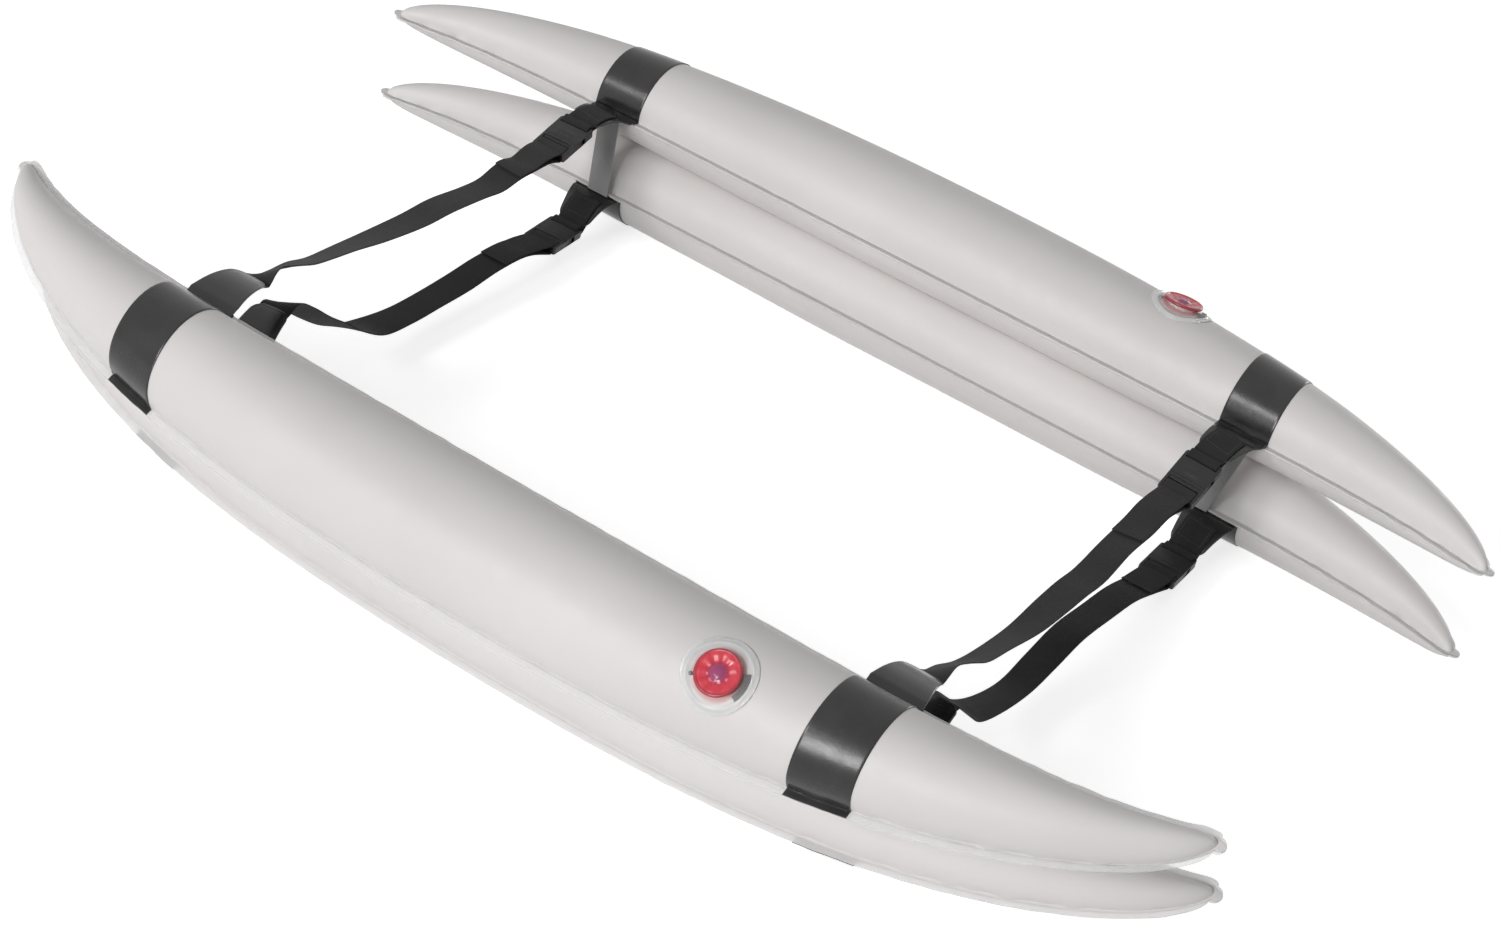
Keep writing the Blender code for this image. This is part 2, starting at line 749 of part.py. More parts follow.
def arm_shape(hand):
    """Springy arm with a thumb pad that stands in the socket's window."""
    mouth = FEMALE_LENGTH - SOCKET_DEPTH
    pad = (mouth + WINDOW_START + RUNNING_GAP, mouth + WINDOW_START + WINDOW_LENGTH - RUNNING_GAP)
    pivot = arm_pivot(hand)
    tip = max(mouth + RUNNING_GAP, FEMALE_LENGTH - ARM_LENGTH)
    outline = [
        (-ARM_THICKNESS / 2, 0),
        (ARM_THICKNESS / 2, 0),
        (ARM_THICKNESS / 2, pad[1] - pivot.y),
        (ARM_THICKNESS / 2 + BARB + BUCKLE_WALL, pad[1] - pivot.y),
        (ARM_THICKNESS / 2 + BARB + BUCKLE_WALL, (pad[0] + pad[1]) / 2 - pivot.y),
        (ARM_THICKNESS / 2 + BARB * 0.7, pad[0] - pivot.y),
        (ARM_THICKNESS / 2, tip - pivot.y),
        (-ARM_THICKNESS / 2, tip - pivot.y),
    ]
    shape = bmesh.new()
    loops = []
    for height in (-ARM_HEIGHT / 2, ARM_HEIGHT / 2):
        loops.append([Vector((hand * x, y, height)) for x, y in outline])
    loft(shape, loops)
    return shape


def female_start(end, level):
    """Tab-side end of a buckle in world space."""
    tip = tab_path("far", end, level)[-1]
    return tip + buckle_direction(end, level) * LOOP_REACH


def buckle_direction(end, level):
    shift, rise = BUCKLE_AIM[(end, level)]
    return Vector((shift, -1, rise)).normalized()


def buckle_matrix(end, level):
    ahead = buckle_direction(end, level)
    across = Vector((1, 0, 0))
    across = (across - ahead * across.dot(ahead)).normalized()
    across.negate()
    out = across.cross(ahead)
    return Matrix.Translation(female_start(end, level)) @ Matrix((across, ahead, out)).transposed().to_4x4()


def add_buckle(end, level):
    place = buckle_matrix(end, level)
    name = f"{end}_{level}_buckle"
    add_object(f"{name}_female", female_shape(), BUCKLE_BLACK, None, place)
    add_object(f"{name}_male", male_shape(), BUCKLE_BLACK, None, place)
    for hand_name, hand in (("a", -1), ("b", 1)):
        at_pivot = place @ Matrix.Translation(arm_pivot(hand))
        add_object(f"{name}_arm_{hand_name}", arm_shape(hand), BUCKLE_BLACK, None, at_pivot)


def offset_path(path, sides, distance):
    """Path shifted square to a strip's face, keeping the same distance along its bends."""
    out = []
    for index, point in enumerate(path):
        behind = (point - path[index - 1]).normalized() if index else Vector()
        ahead = (path[index + 1] - point).normalized() if index < len(path) - 1 else Vector()
        tangent = (behind + ahead).normalized()
        mitre = 1 / max(0.6, tangent.dot(ahead if index == 0 else behind))
        out.append(point + tangent.cross(sides).normalized() * distance * mitre)
    return out


def add_anchor_loop(end, level):
    """Webbing sewn along the far tab and looped round the buckle's tab-side bar."""
    place = buckle_matrix(end, level)
    tab = tab_path("far", end, level)
    lift = TAB / 2 + 2 * GAP + WEBBING / 2
    wrap = BUCKLE_THICKNESS / 2 + 2 * GAP + WEBBING / 2
    through = BAR + SLOT / 2
    lengthwise = Vector((1, 0, 0))
    past = tab + [tab[-1] + (tab[-1] - tab[-2]).normalized() * LOOP_SLACK]
    over = offset_path(past, lengthwise, lift)[3:]
    under = offset_path(past, lengthwise, -lift)[:4:-1]
    spots = [(-LOOP_SLACK, wrap), (through, wrap), (through, -wrap), (-LOOP_SLACK, -wrap)]
    loop = [place @ Vector((0, y, z)) for y, z in spots]
    path = over + loop + under
    across = -(place.to_3x3() @ lengthwise)
    sides = [lengthwise] * len(over) + [across] * len(loop) + [lengthwise] * len(under)
    shape = bmesh.new()
    ribbon(shape, path, [WEBBING_WIDTH] * len(path), WEBBING, sides)
    add_object(f"{end}_{level}_anchor_loop", shape, WEBBING_BLACK, None)


# Straps


def smooth_route(points):
    """Points on a Catmull-Rom curve through the route's own points; a point is (place, twist)."""
    out = []
    for index in range(len(points) - 1):
        four = [points[min(max(n, 0), len(points) - 1)] for n in range(index - 1, index + 3)]
        for step in range(ROUTE_STEPS):
            out.append(catmull(four, step / ROUTE_STEPS))
    out.append(points[-1])
    return out


def catmull(four, t):
    weights = (
        -0.5 * t + t * t - 0.5 * t**3,
        1 - 2.5 * t * t + 1.5 * t**3,
        0.5 * t + 2 * t * t - 1.5 * t**3,
        -0.5 * t * t + 0.5 * t**3,
    )
    place = sum((point[0] * weight for point, weight in zip(four, weights)), Vector())
    return place, sum(point[1] * weight for point, weight in zip(four, weights))


def strap_ends(end, level):
    """Where a strap leaves its near tab and where it meets its buckle."""
    start = sewn_part(end, level)[-1]
    frame_end = FEMALE_LENGTH + GAP + MALE_FRAME_LENGTH
    under = -(BUCKLE_THICKNESS / 2 - WEBBING / 2)
    finish = buckle_matrix(end, level) @ Vector((0, frame_end + RUNNING_GAP, under))
    return start, finish


def sewn_part(end, level):
    """Start of a strap, sewn along the underside of its near tab."""
    near = tab_path("near", end, level)
    near.append(near[-1] + (near[-1] - near[-2]).normalized() * SEWN_END)
    return offset_path(near, Vector((1, 0, 0)), TAB / 2 + 2 * GAP + WEBBING / 2)[-3:]


def strap_points(end, level):
    start, finish = strap_ends(end, level)
    points = [(start, 0)]
    for part, rise, twist in STRAP_ROUTE[(end, level)]:
        points.append((start.lerp(finish, part) + Vector((0, 0, rise)), twist))
    points.append((finish, 0))
    return [(place, 0) for place in sewn_part(end, level)[:-1]] + smooth_route(points)


def width_direction(tangent, twist):
    across = Vector((1, 0, 0))
    across = (across - tangent * across.dot(tangent)).normalized()
    turn = math.radians(twist)
    return across * math.cos(turn) + across.cross(tangent) * math.sin(turn)


def add_strap(end, level):
    """Webbing from the near tab, under the buckle frame, round its middle bar and back on top."""
    route = strap_points(end, level)
    path = [place for place, twist in route]
    sides = []
    for index, (place, twist) in enumerate(route):
        before, after = path[max(0, index - 1)], path[min(len(path) - 1, index + 1)]
        sides.append(width_direction((after - before).normalized(), twist))
    buckle = buckle_matrix(end, level)
    across = -(buckle.to_3x3() @ Vector((1, 0, 0)))
    last_slot = FEMALE_LENGTH + GAP + MALE_FRAME_LENGTH - BAR - SLOT
    middle_bar = last_slot - BAR
    layer = BUCKLE_THICKNESS / 2 - WEBBING / 2
    turn_in = middle_bar - SLOT / 2
    bend = turn_in + TURN_ROUND
    spots = [(last_slot, -layer), (bend, -layer), (turn_in, 0), (bend, layer), (last_slot, layer)]
    spots.append((FEMALE_LENGTH + GAP + MALE_FRAME_LENGTH + RUNNING_GAP, layer))
    loop = [buckle @ Vector((0, y, z)) for y, z in spots]
    tail, tail_sides = tail_over(path, sides, TAIL_LENGTH[(end, level)])
    shape = bmesh.new()
    whole = path + loop + tail
    whole_sides = sides + [across] * len(loop) + tail_sides
    ribbon(shape, whole, [WEBBING_WIDTH] * len(whole), WEBBING, whole_sides, twisted=True)
    add_object(f"{end}_{level}_strap", shape, WEBBING_BLACK, None)


def tail_over(path, sides, length):
    """Loose end of a strap, lying a little above the strap on its way back."""
    out, out_sides, run = [], [], 0.0
    for index in range(len(path) - 2, 0, -1):
        run += (path[index + 1] - path[index]).length
        if run > length:
            break
        tangent = (path[index - 1] - path[index + 1]).normalized()
        normal = sides[index].cross(-tangent)
        fade = max(0.0, 1 - run / 0.05)
        lift = WEBBING + TAIL_LIFT + fade * (BUCKLE_THICKNESS - 2 * WEBBING)
        out.append(path[index] + normal * lift)
        out_sides.append(sides[index])
    return out, out_sides


def build():
    clear_scene()
    for side in SIDE_SIGN:
        frame = empty(f"{side}_pontoon_frame")
        frame.matrix_local = pontoon_matrix(side)
        add_panels(side, frame)
        add_valve(side, frame)
        for end in END_SIGN:
            add_bands(side, end, frame)
            add_riser(side, end, frame)
            for level in LEVEL_SIGN:
                add_tab(side, end, level)
    for end in END_SIGN:
        for level in LEVEL_SIGN:
            add_buckle(end, level)
            add_anchor_loop(end, level)
            add_strap(end, level)


build()
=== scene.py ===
"""Looks of an inflatable paddleboard stabilizer: two twin-tube pontoons and four webbing straps.

The CAD nodes are replaced by finer pieces in the same places. X runs along the pontoons, Y across
them from the near one to the far one, and Z up from the ground. Lengths are in metres.
"""

import json
import math

import bmesh
import bpy
from mathutils import Matrix, Vector, noise
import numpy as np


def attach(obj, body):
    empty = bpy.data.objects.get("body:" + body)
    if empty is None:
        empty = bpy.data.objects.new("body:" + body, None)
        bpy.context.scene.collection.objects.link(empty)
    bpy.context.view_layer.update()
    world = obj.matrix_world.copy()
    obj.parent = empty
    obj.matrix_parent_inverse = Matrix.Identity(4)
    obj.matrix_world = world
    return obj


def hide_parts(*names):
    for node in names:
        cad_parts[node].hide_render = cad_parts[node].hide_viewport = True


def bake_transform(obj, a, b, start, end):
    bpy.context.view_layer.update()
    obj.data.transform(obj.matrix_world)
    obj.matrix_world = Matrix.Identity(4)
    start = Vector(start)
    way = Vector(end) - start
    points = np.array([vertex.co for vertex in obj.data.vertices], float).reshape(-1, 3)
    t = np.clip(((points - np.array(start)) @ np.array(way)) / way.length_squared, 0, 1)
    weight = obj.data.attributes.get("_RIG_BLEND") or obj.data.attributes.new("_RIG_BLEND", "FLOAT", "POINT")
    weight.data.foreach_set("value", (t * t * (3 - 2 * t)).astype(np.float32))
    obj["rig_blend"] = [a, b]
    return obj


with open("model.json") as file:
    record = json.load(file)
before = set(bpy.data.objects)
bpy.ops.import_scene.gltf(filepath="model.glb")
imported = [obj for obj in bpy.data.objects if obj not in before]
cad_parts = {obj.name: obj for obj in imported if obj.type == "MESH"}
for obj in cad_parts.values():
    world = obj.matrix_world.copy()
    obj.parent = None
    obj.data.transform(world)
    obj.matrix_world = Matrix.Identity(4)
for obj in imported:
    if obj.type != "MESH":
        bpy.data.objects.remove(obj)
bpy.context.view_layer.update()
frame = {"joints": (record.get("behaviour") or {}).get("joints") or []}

# Pontoon tubes, as in the CAD
TUBE_HALF_LENGTH = 0.750
TUBE_HALF_WIDTH = 0.0720
TUBE_HALF_HEIGHT = 0.0645
WIDTH_TAPER = (2.6, 0.80)
HEIGHT_TAPER = (2.1, 0.456)
TIP_BLUNTNESS = 0.0100
TIP_GROWTH = 8
TIP_CLOSURE = 50
TIP_ROUNDNESS = 1.2
SEAM_LEAN = {"upper": 7.0, "lower": 0.0}
STACK_HEIGHT = 0.1110
INWARD_SWEEP = ((2, 0.031), (4, 0.058), (8, 0.011), (20, 0.009))
FLANGE = 0.0090
NEAR_LEFT_TIP_TRIM = 0.048
TIP_TRIM_POWER = 7
ROLL = {"near": 31.0, "far": 0.5}
FILM = 0.0010
GAP = 0.0003

# Seam flange and the wrinkles that inflating leaves beside it
FLANGE_HALF = 0.0011
TIP_SPREAD = 0.55
SEAM_FILLET = 0.0007
PUCKER = (0.0007, 0.0019)
PUCKER_REACH = 0.24
PUCKER_WAVES = ((0.031, 0.8), (0.021, 0.4), (0.053, 1.0))
FLUTTER = (0.0005, 0.0014)
EDGE_RIPPLE = 0.0003
SWELL = 0.0010
SWELL_GRAIN = (5.0, 1.3)
CONTACT_SOFTNESS = 0.0012
GROUND_SOFTNESS = 0.0003
FLANGE_OUTS = (0.10, 0.20, 0.32, 0.50, 0.75, 0.94)
FILM_START = 0.25
MILKY = 0.6
FILM_ALPHA = 0.35
TINY = 1e-6

# Bands and risers
BAND_X = {"near": 0.422, "far": 0.437}
BAND_WIDTH = 0.063
BAND = 0.0010
BAND_STEPS = 22
BAND_OUTS = (0.12, 0.3, 0.6, 0.9, 0.98)
BAND_ROUND = ((0.0, 0.25), (0.0003, 0.75), (0.0010, 1.0))
WELD_BEAD = 0.0007
RISER_STEPS = 24
RISER_WIDTH = 0.030
RISER_SEAT = 0.0014
RISER_SHIFT = {
    ("left", "upper"): -0.003,
    ("left", "lower"): 0.003,
    ("right", "upper"): 0.004,
    ("right", "lower"): -0.021,
}

# Tabs
TAB = 0.0020
TAB_ROOT_WIDTH = 0.062
TAB_END_WIDTH = 0.042
TAB_LENGTH = {"near": 0.066, "far": 0.050}
TAB_ROOT_OVERLAP = 0.006
TAB_LIP = (0.002, 0.006)
TAB_CROWN = 0.006
TAB_CORNER = 0.013
TAB_WELD_INSET = 0.0042
TAB_WELD_RISE = 0.00035
TAB_WELD_HALF = 0.0009
TAB_EDGE = 0.0009
TAB_STEP = 0.0016
SEWN_END = 0.004

# Webbing and buckles
WEBBING_WIDTH = 0.038
WEBBING = 0.0015
BUCKLE_WIDTH = 0.046
BUCKLE_THICKNESS = 0.0115
BUCKLE_WALL = 0.0020
FEMALE_LENGTH = 0.036
MALE_FRAME_LENGTH = 0.0256
BAR = 0.0038
SLOT = 0.0056
SOCKET_DEPTH = 0.0250
WINDOW_START = 0.0060
WINDOW_LENGTH = 0.0140
ARM_THICKNESS = 0.0030
ARM_HEIGHT = 0.0060
ARM_LENGTH = 0.0215
BARB = 0.0026
GUIDE_WIDTH = 0.0070
LOOP_REACH = 0.010
LOOP_SLACK = 0.003
RUNNING_GAP = 0.0004
STITCH_PITCH = 0.0042
STITCH_ROW = 0.0150
LOOP_STITCHES = (0.004, 0.028)
CROWN = 0.0009
CORNER = 0.0030
CORNER_CUT = 0.0016
GRIP_START = 0.0145
GRIP_END = 0.0045
GRIP_PITCH = 0.0020
GRIP_HALF = 0.0110
GRIP_RIB = 0.0005
PAD_RIBS = 4
MOULD_ROUND = 0.0007
ARM_ROUND = 0.0002
ANCHOR_BEND = 0.0030
LOCK_BEND = 0.0022

# Valves
VALVE_X = 0.295
VALVE_ANGLE = 76.0
VALVE_FLANGE_RADIUS = 0.0375
VALVE_FLANGE = 0.0008
BARREL_RADIUS = 0.0110
BORE_RADIUS = 0.0095
BARREL_DEPTH = 0.0140
COLLAR_RADIUS = 0.0170
COLLAR_HEIGHT = 0.0035
CAP_RADIUS = 0.0235
CAP_THICKNESS = 0.0045
SPIGOT_DEPTH = 0.0070
FLAP_RADIUS = 0.0105
FLAP = 0.0010
HOLE_CLEARANCE = 0.0012
WELL_DEPTH = 0.0300
WELL_RISE = 0.01
VALVE_SEAT = 2 * GAP + 0.0004
BASE_RING_RADIUS = 0.0320
CAP_FLUTES = 9
CAP_FLUTE = 0.00024
TETHER_TURN = 29
TETHER_STEPS = 40
TETHER_PROFILE = (
    (0.0, 0.0), (0.0, 0.75), (0.06, 1.0), (0.16, 1.0), (0.24, 0.55),
    (0.32, 1.0), (0.42, 1.0), (0.50, 0.55), (0.58, 1.0), (0.68, 1.0),
    (0.76, 0.55), (0.84, 1.0), (0.94, 1.0), (1.0, 0.75), (1.0, 0.0),
)
TETHER_HEIGHT = 0.0020
LUG_TURN = 208
LUG_RADIUS = 0.0022
LUG_RINGS = 10
LUG_STEPS = 16

SIDE_SIGN = {"near": -1, "far": 1}
LEVEL_SIGN = {"upper": 1, "lower": -1}
END_SIGN = {"left": -1, "right": 1}

# Tab and buckle directions: shift along X and rise per unit of reach
TAB_AIM = {
    ("near", "left", "upper"): (-0.06, -0.06),
    ("near", "right", "upper"): (-0.04, -0.28),
    ("near", "left", "lower"): (-0.12, 0.62),
    ("near", "right", "lower"): (0.00, 0.26),
    ("far", "left", "upper"): (-0.15, 0.05),
    ("far", "right", "upper"): (-0.20, -0.22),
    ("far", "left", "lower"): (0.05, -0.62),
    ("far", "right", "lower"): (-0.12, -0.78),
}
BUCKLE_AIM = {
    ("left", "upper"): (0.04, -0.26),
    ("right", "upper"): (-0.04, -0.42),
    ("left", "lower"): (0.06, -0.02),
    ("right", "lower"): (0.02, -0.02),
}

# Strap routes: share of the way across, rise above the straight line, twist in degrees
STRAP_ROUTE = {
    ("left", "upper"): (
        (0.035, 0.003, 36), (0.080, 0.000, 34), (0.140, -0.004, 22), (0.200, -0.008, 24),
        (0.280, -0.009, 20), (0.380, -0.011, 12), (0.510, -0.011, 5), (0.610, -0.007, 3),
        (0.720, -0.008, 6), (0.790, -0.008, 2), (0.855, 0.001, -4), (0.910, 0.001, 4),
        (0.960, 0.004, 0),
    ),
    ("left", "lower"): (
        (0.030, 0.003, 22), (0.080, -0.009, 29), (0.145, -0.026, 28), (0.215, -0.041, 27),
        (0.275, -0.051, 14), (0.370, -0.057, -6), (0.470, -0.051, -2), (0.570, -0.039, 0),
        (0.680, -0.024, -2), (0.790, -0.006, 0), (0.900, 0.005, 0),
    ),
    ("right", "upper"): (
        (0.050, -0.004, 34), (0.110, -0.013, 32), (0.190, -0.029, 28), (0.280, -0.035, 28),
        (0.400, -0.039, 20), (0.500, -0.033, 10), (0.580, -0.028, 6), (0.660, -0.026, 6),
        (0.750, -0.011, 10), (0.840, -0.003, 4), (0.910, 0.007, 0),
    ),
    ("right", "lower"): (
        (0.050, -0.012, -4), (0.130, -0.037, -8), (0.240, -0.047, 4), (0.360, -0.045, 12),
        (0.460, -0.027, 8), (0.570, -0.006, 6), (0.700, 0.003, 6), (0.810, 0.009, 4),
        (0.910, 0.006, 0),
    ),
}
TAIL_LENGTH = {
    ("left", "upper"): 0.088,
    ("right", "upper"): 0.118,
    ("left", "lower"): 0.100,
    ("right", "lower"): 0.060,
}
TAIL_LIFT = 0.0012
TAIL_FADE = 0.05
BLEND_END = 0.10

# Fineness
HALF_STATIONS = 210
TIP_TURNS = (15, 30, 45, 60, 72, 82)
DOME_STEPS = 34
ROUTE_STEP = 0.0035
TURN_STEPS = 72
CROSS_CELL = 0.003
LONG_CELL = 0.004
GRIP_CELL = 0.0007

# Camera, lamps and floor
LENS = 74.56
SENSOR = 36
CAMERA_PLACE = (1.2608, -2.5702, 1.9048)
CAMERA_FORWARD = (-0.3619, 0.7585, -0.5419)
CAMERA_RIGHT = (0.8158, 0.539, 0.2097)
LAMP_TARGET = (0, 0, 0.1)
LAMPS = (
    ("key", (-0.9, -21.3, 7.0), (3.8, 7.8), 1950),
    ("high", (-5.4, -13.4, 9.1), (4.0, 3.0), 620),
    ("back", (3.0, 20.0, 2.4), (9.0, 3.0), 620),
)
WORLD_LEVEL = 0.27
FLOOR_HALF = 14
FLOOR_LIFT = 0.70


# Tube shape: x is the station along the pontoon, u points away from the other pontoon, w up.


def share(x):
    return min(1.0, abs(x) / TUBE_HALF_LENGTH)


def tube_half_width_of(x):
    power, fullness = WIDTH_TAPER
    body = TUBE_HALF_WIDTH * (1 - share(x) ** power) ** fullness
    return body + TIP_BLUNTNESS * share(x) ** TIP_GROWTH * math.sqrt(1 - share(x) ** TIP_CLOSURE)


def tube_half_height_of(x):
    power, fullness = HEIGHT_TAPER
    height = TUBE_HALF_HEIGHT * (1 - share(x) ** power) ** fullness
    return min(height, TIP_ROUNDNESS * tube_half_width_of(x))


def sweep_of(x):
    return sum(amount * share(x) ** power for power, amount in INWARD_SWEEP)


def along(x, side):
    if side == "near" and x < 0:
        return x + NEAR_LEFT_TIP_TRIM * share(x) ** TIP_TRIM_POWER
    return x


def flange_edge_of(x):
    if abs(x) <= TUBE_HALF_LENGTH:
        return tube_half_width_of(x) + FLANGE
    past = abs(x) - TUBE_HALF_LENGTH
    return math.sqrt(max(0.0, FLANGE**2 - past**2))


def seam_height(x, lean):
    return -tube_half_height_of(x) * math.sin(math.radians(lean))


def soft_max(a, b, softness):
    """The larger of two lengths, with the corner between them rounded."""
    top = max(a, b)
    if softness <= 0 or abs(a - b) > 12 * softness:
        return top
    total = math.exp((a - top) / softness) + math.exp((b - top) / softness)
    return top + softness * math.log(total)


def tip_share(x):
    """0 along most of the tube, rising to 1 towards its tips."""
    return min(1.0, max(0.0, (share(x) - 0.35) / 0.6))


def ripple(x, seed, waves=PUCKER_WAVES):
    """Uneven wrinkles along a seam, about -1 to 1."""
    total = 0.0
    for index, (length, strength) in enumerate(waves):
        drift = 1.7 * noise.noise(Vector((x * 9.0, seed * 3.1, index * 7.7)))
        phase = 2 * math.pi * x / length + seed * 1.9 + index * 2.3 + drift * 2.5
        total += strength * math.sin(phase)
    gate = 0.55 + 0.9 * noise.noise(Vector((x * 14.0, seed * 5.3, 4.2)))
    return total * max(0.1, gate) / 1.6


def seed_of(side, level, hand):
    return 1.0 + (side == "far") * 4.0 + (level == "lower") * 2.0 + (hand > 0) * 1.0


def skin(side, level, x, half, turn, lift=0.0):
    """Point on a tube's film: half is 1 above the seam and -1 below, turn runs outer to inner."""
    lean = SEAM_LEAN[level]
    own = half * LEVEL_SIGN[level]
    start = -own * math.radians(lean)
    bent = turn - 0.45 * math.sin(2 * math.pi * turn) / (2 * math.pi)
    angle = start + (math.pi - 2 * start) * bent
    width = max(tube_half_width_of(x), TIP_SPREAD * flange_edge_of(x))
    height = tube_half_height_of(x)
    hand = 1 if turn < 0.5 else -1
    reach = min(turn, 1 - turn) * math.pi
    amount = PUCKER[0] + (PUCKER[1] - PUCKER[0]) * tip_share(x)
    near_seam = math.exp(-((reach / PUCKER_REACH) ** 2))
    size = min(1.0, height / 0.02)
    pucker = amount * near_seam * size * ripple(x, seed_of(side, level, hand) + 0.35 * half)
    grain, turns = SWELL_GRAIN
    swell = noise.noise(Vector((x * grain, angle * turns * half, seed_of(side, level, 1))))
    grow = lift + pucker + SWELL * size * swell
    inside = tube_half_width_of(x)
    u = (width + grow) * math.cos(angle)
    if width > inside + TINY:
        rest = 1 - (u / max(inside, 1e-5)) ** 2
        rise = (height + grow) * math.sqrt(rest) if rest > 0 else 0.0
    else:
        rise = (height + grow) * math.sin(angle)
    seam = half * own * seam_height(x, lean)
    level_up = soft_max(rise - half * seam, FLANGE_HALF + lift, SEAM_FILLET)
    w = seam + half * level_up
    limit = (STACK_HEIGHT - GAP) / 2 - lift
    if LEVEL_SIGN[level] > 0:
        w = soft_max(w, -limit, CONTACT_SOFTNESS)
    else:
        w = -soft_max(-w, -limit, CONTACT_SOFTNESS)
    return place_on(side, level, x, u, w)


def place_on(side, level, x, u, w):
    height = LEVEL_SIGN[level] * STACK_HEIGHT / 2 + w
    return Vector((along(x, side), SIDE_SIGN[side] * (u - sweep_of(x)), height))


def flange_point(side, level, x, hand, out, face, lift=0.0):
    """Point on a seam flange: hand 1 is the outer one, out runs from its root to its edge."""
    lean = SEAM_LEAN[level]
    width = max(tube_half_width_of(x), TIP_SPREAD * flange_edge_of(x))
    root = width * math.cos(math.radians(lean))
    seed = seed_of(side, level, hand)
    edge = flange_edge_of(x) + EDGE_RIPPLE * ripple(x, seed + 9.0)
    if abs(x) > TUBE_HALF_LENGTH:
        edge = flange_edge_of(x)
    flutter = FLUTTER[0] + (FLUTTER[1] - FLUTTER[0]) * tip_share(x) ** 2
    calm = min(1.0, max(0.0, (TUBE_HALF_LENGTH + FLANGE - abs(x)) / 0.02))
    wave = flutter * calm * out**1.5 * ripple(x, seed + 5.0)
    weld = 1 - 0.35 * math.exp(-(((out - 0.28) / 0.10) ** 2))
    half_thick = FLANGE_HALF * weld + lift
    seam = seam_height(x, lean) * LEVEL_SIGN[level]
    u = hand * (root + out * max(0.0, edge - root))
    return place_on(side, level, x, u, seam + wave + face * half_thick)


def roll_of(side):
    return -SIDE_SIGN[side] * math.radians(ROLL[side])


def skin_point(side, x, angle):
    """Smooth outer face of the upper tube, and the direction out of it."""
    width, height = tube_half_width_of(x), tube_half_height_of(x)
    turn = math.radians(angle)
    out = Vector((0, SIDE_SIGN[side] * math.cos(turn) / width, math.sin(turn) / height))
    u = -sweep_of(x) + width * math.cos(turn)
    w = STACK_HEIGHT / 2 + height * math.sin(turn)
    return Vector((along(x, side), SIDE_SIGN[side] * u, w)), out.normalized()


def valve_matrix(side):
    """Valve frame in the pontoon's frame: X along the pontoon, Z out of the tube."""
    centre, out = skin_point(side, VALVE_X, VALVE_ANGLE)
    ahead = Vector((1, 0, 0))
    return Matrix.Translation(centre) @ Matrix((ahead, out.cross(ahead), out)).transposed().to_4x4()


def pontoon_matrix(side):
    """The pontoon's place, found from where the frame hinges its valve flap."""
    joint = next(j for j in frame["joints"] if j["name"] == f"{side}_flap_open")
    turn = Matrix.Rotation(roll_of(side), 4, "X")
    pivot = valve_matrix(side) @ Vector((-FLAP_RADIUS, 0, -BARREL_DEPTH - GAP))
    return Matrix.Translation(Vector(joint["pos_m"]) - turn @ pivot) @ turn


PLACE = {side: pontoon_matrix(side) for side in SIDE_SIGN}


def to_world(side, point):
    """World place of a point of a pontoon, pressed flat where it meets the ground."""
    placed = PLACE[side] @ point
    placed.z = soft_max(placed.z, 0.0, GROUND_SOFTNESS)
    return placed


# Mesh making


def new_mesh(name, bm):
    mesh = bpy.data.meshes.new(name)
    bm.to_mesh(mesh)
    bm.free()
    return mesh


def new_object(name, data):
    made = bpy.data.objects.new(name, data)
    bpy.context.scene.collection.objects.link(made)
    return made


def add_piece(name, bm, look, body, nodes, sharp=40):
    """Turn a bmesh in world space into a piece that rides on a body and replaces CAD nodes."""
    bmesh.ops.recalc_face_normals(bm, faces=bm.faces)
    mesh = new_mesh(name, bm)
    mesh.shade_smooth()
    mesh.set_sharp_from_angle(angle=math.radians(sharp))
    mesh.materials.append(look)
    piece = new_object(name, mesh)
    if body:
        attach(piece, body)
    if nodes:
        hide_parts(*nodes)
    return piece


def skin_rows(bm, rows, values=None):
    """Closed solid through rings of equal length; values are kept as attributes of its points."""
    values = values or {}
    made = bm.verts.layers.float
    layers = {key: made.get(key) or made.new(key) for key in values}
    rings = []
    for number, row in enumerate(rows):
        ring = [bm.verts.new(point) for point in row]
        rings.append(ring)
        for key, table in values.items():
            for vert, value in zip(ring, table[number]):
                vert[layers[key]] = value
    count = len(rings[0])
    for one, two in zip(rings, rings[1:]):
        for index in range(count):
            after = (index + 1) % count
            bm.faces.new((one[index], one[after], two[after], two[index]))
    bm.faces.new(rings[0][::-1])
    bm.faces.new(rings[-1])


# Tubes


def tube_stations():
    turns = [math.pi / 2 * i / HALF_STATIONS for i in range(1, HALF_STATIONS + 1)]
    half = [TUBE_HALF_LENGTH * math.sin(turn) for turn in turns]
    half += [TUBE_HALF_LENGTH + FLANGE * math.sin(math.radians(turn)) for turn in TIP_TURNS]
    return [-x for x in reversed(half)] + [0.0] + half


def film_at(level, hand, out):
    """How see-through a seam flange is: clearest on the upper tubes' outer sides."""
    clearness = 1.0 if level == "upper" and hand > 0 else MILKY
    return clearness * min(1.0, out / FILM_START)


def tube_ring(side, level, x):
    """One cross-section of a tube with its flanges, and how much each point is see-through film."""
    points, film = [], []
    for half in (1, -1):
        turns = [step / DOME_STEPS for step in range(DOME_STEPS + 1)]
        if half < 0:
            turns.reverse()
        for turn in turns:
            points.append(skin(side, level, x, half, turn))
            film.append(0.0)
        hand = -1 if half > 0 else 1
        for out in FLANGE_OUTS:
            points.append(flange_point(side, level, x, hand, out, half))
            film.append(film_at(level, hand, out))
        points.append(flange_point(side, level, x, hand, 1.0, 0))
        film.append(film_at(level, hand, 1.0))
        for out in reversed(FLANGE_OUTS):
            points.append(flange_point(side, level, x, hand, out, -half))
            film.append(film_at(level, hand, out))
    return [to_world(side, point) for point in points], film


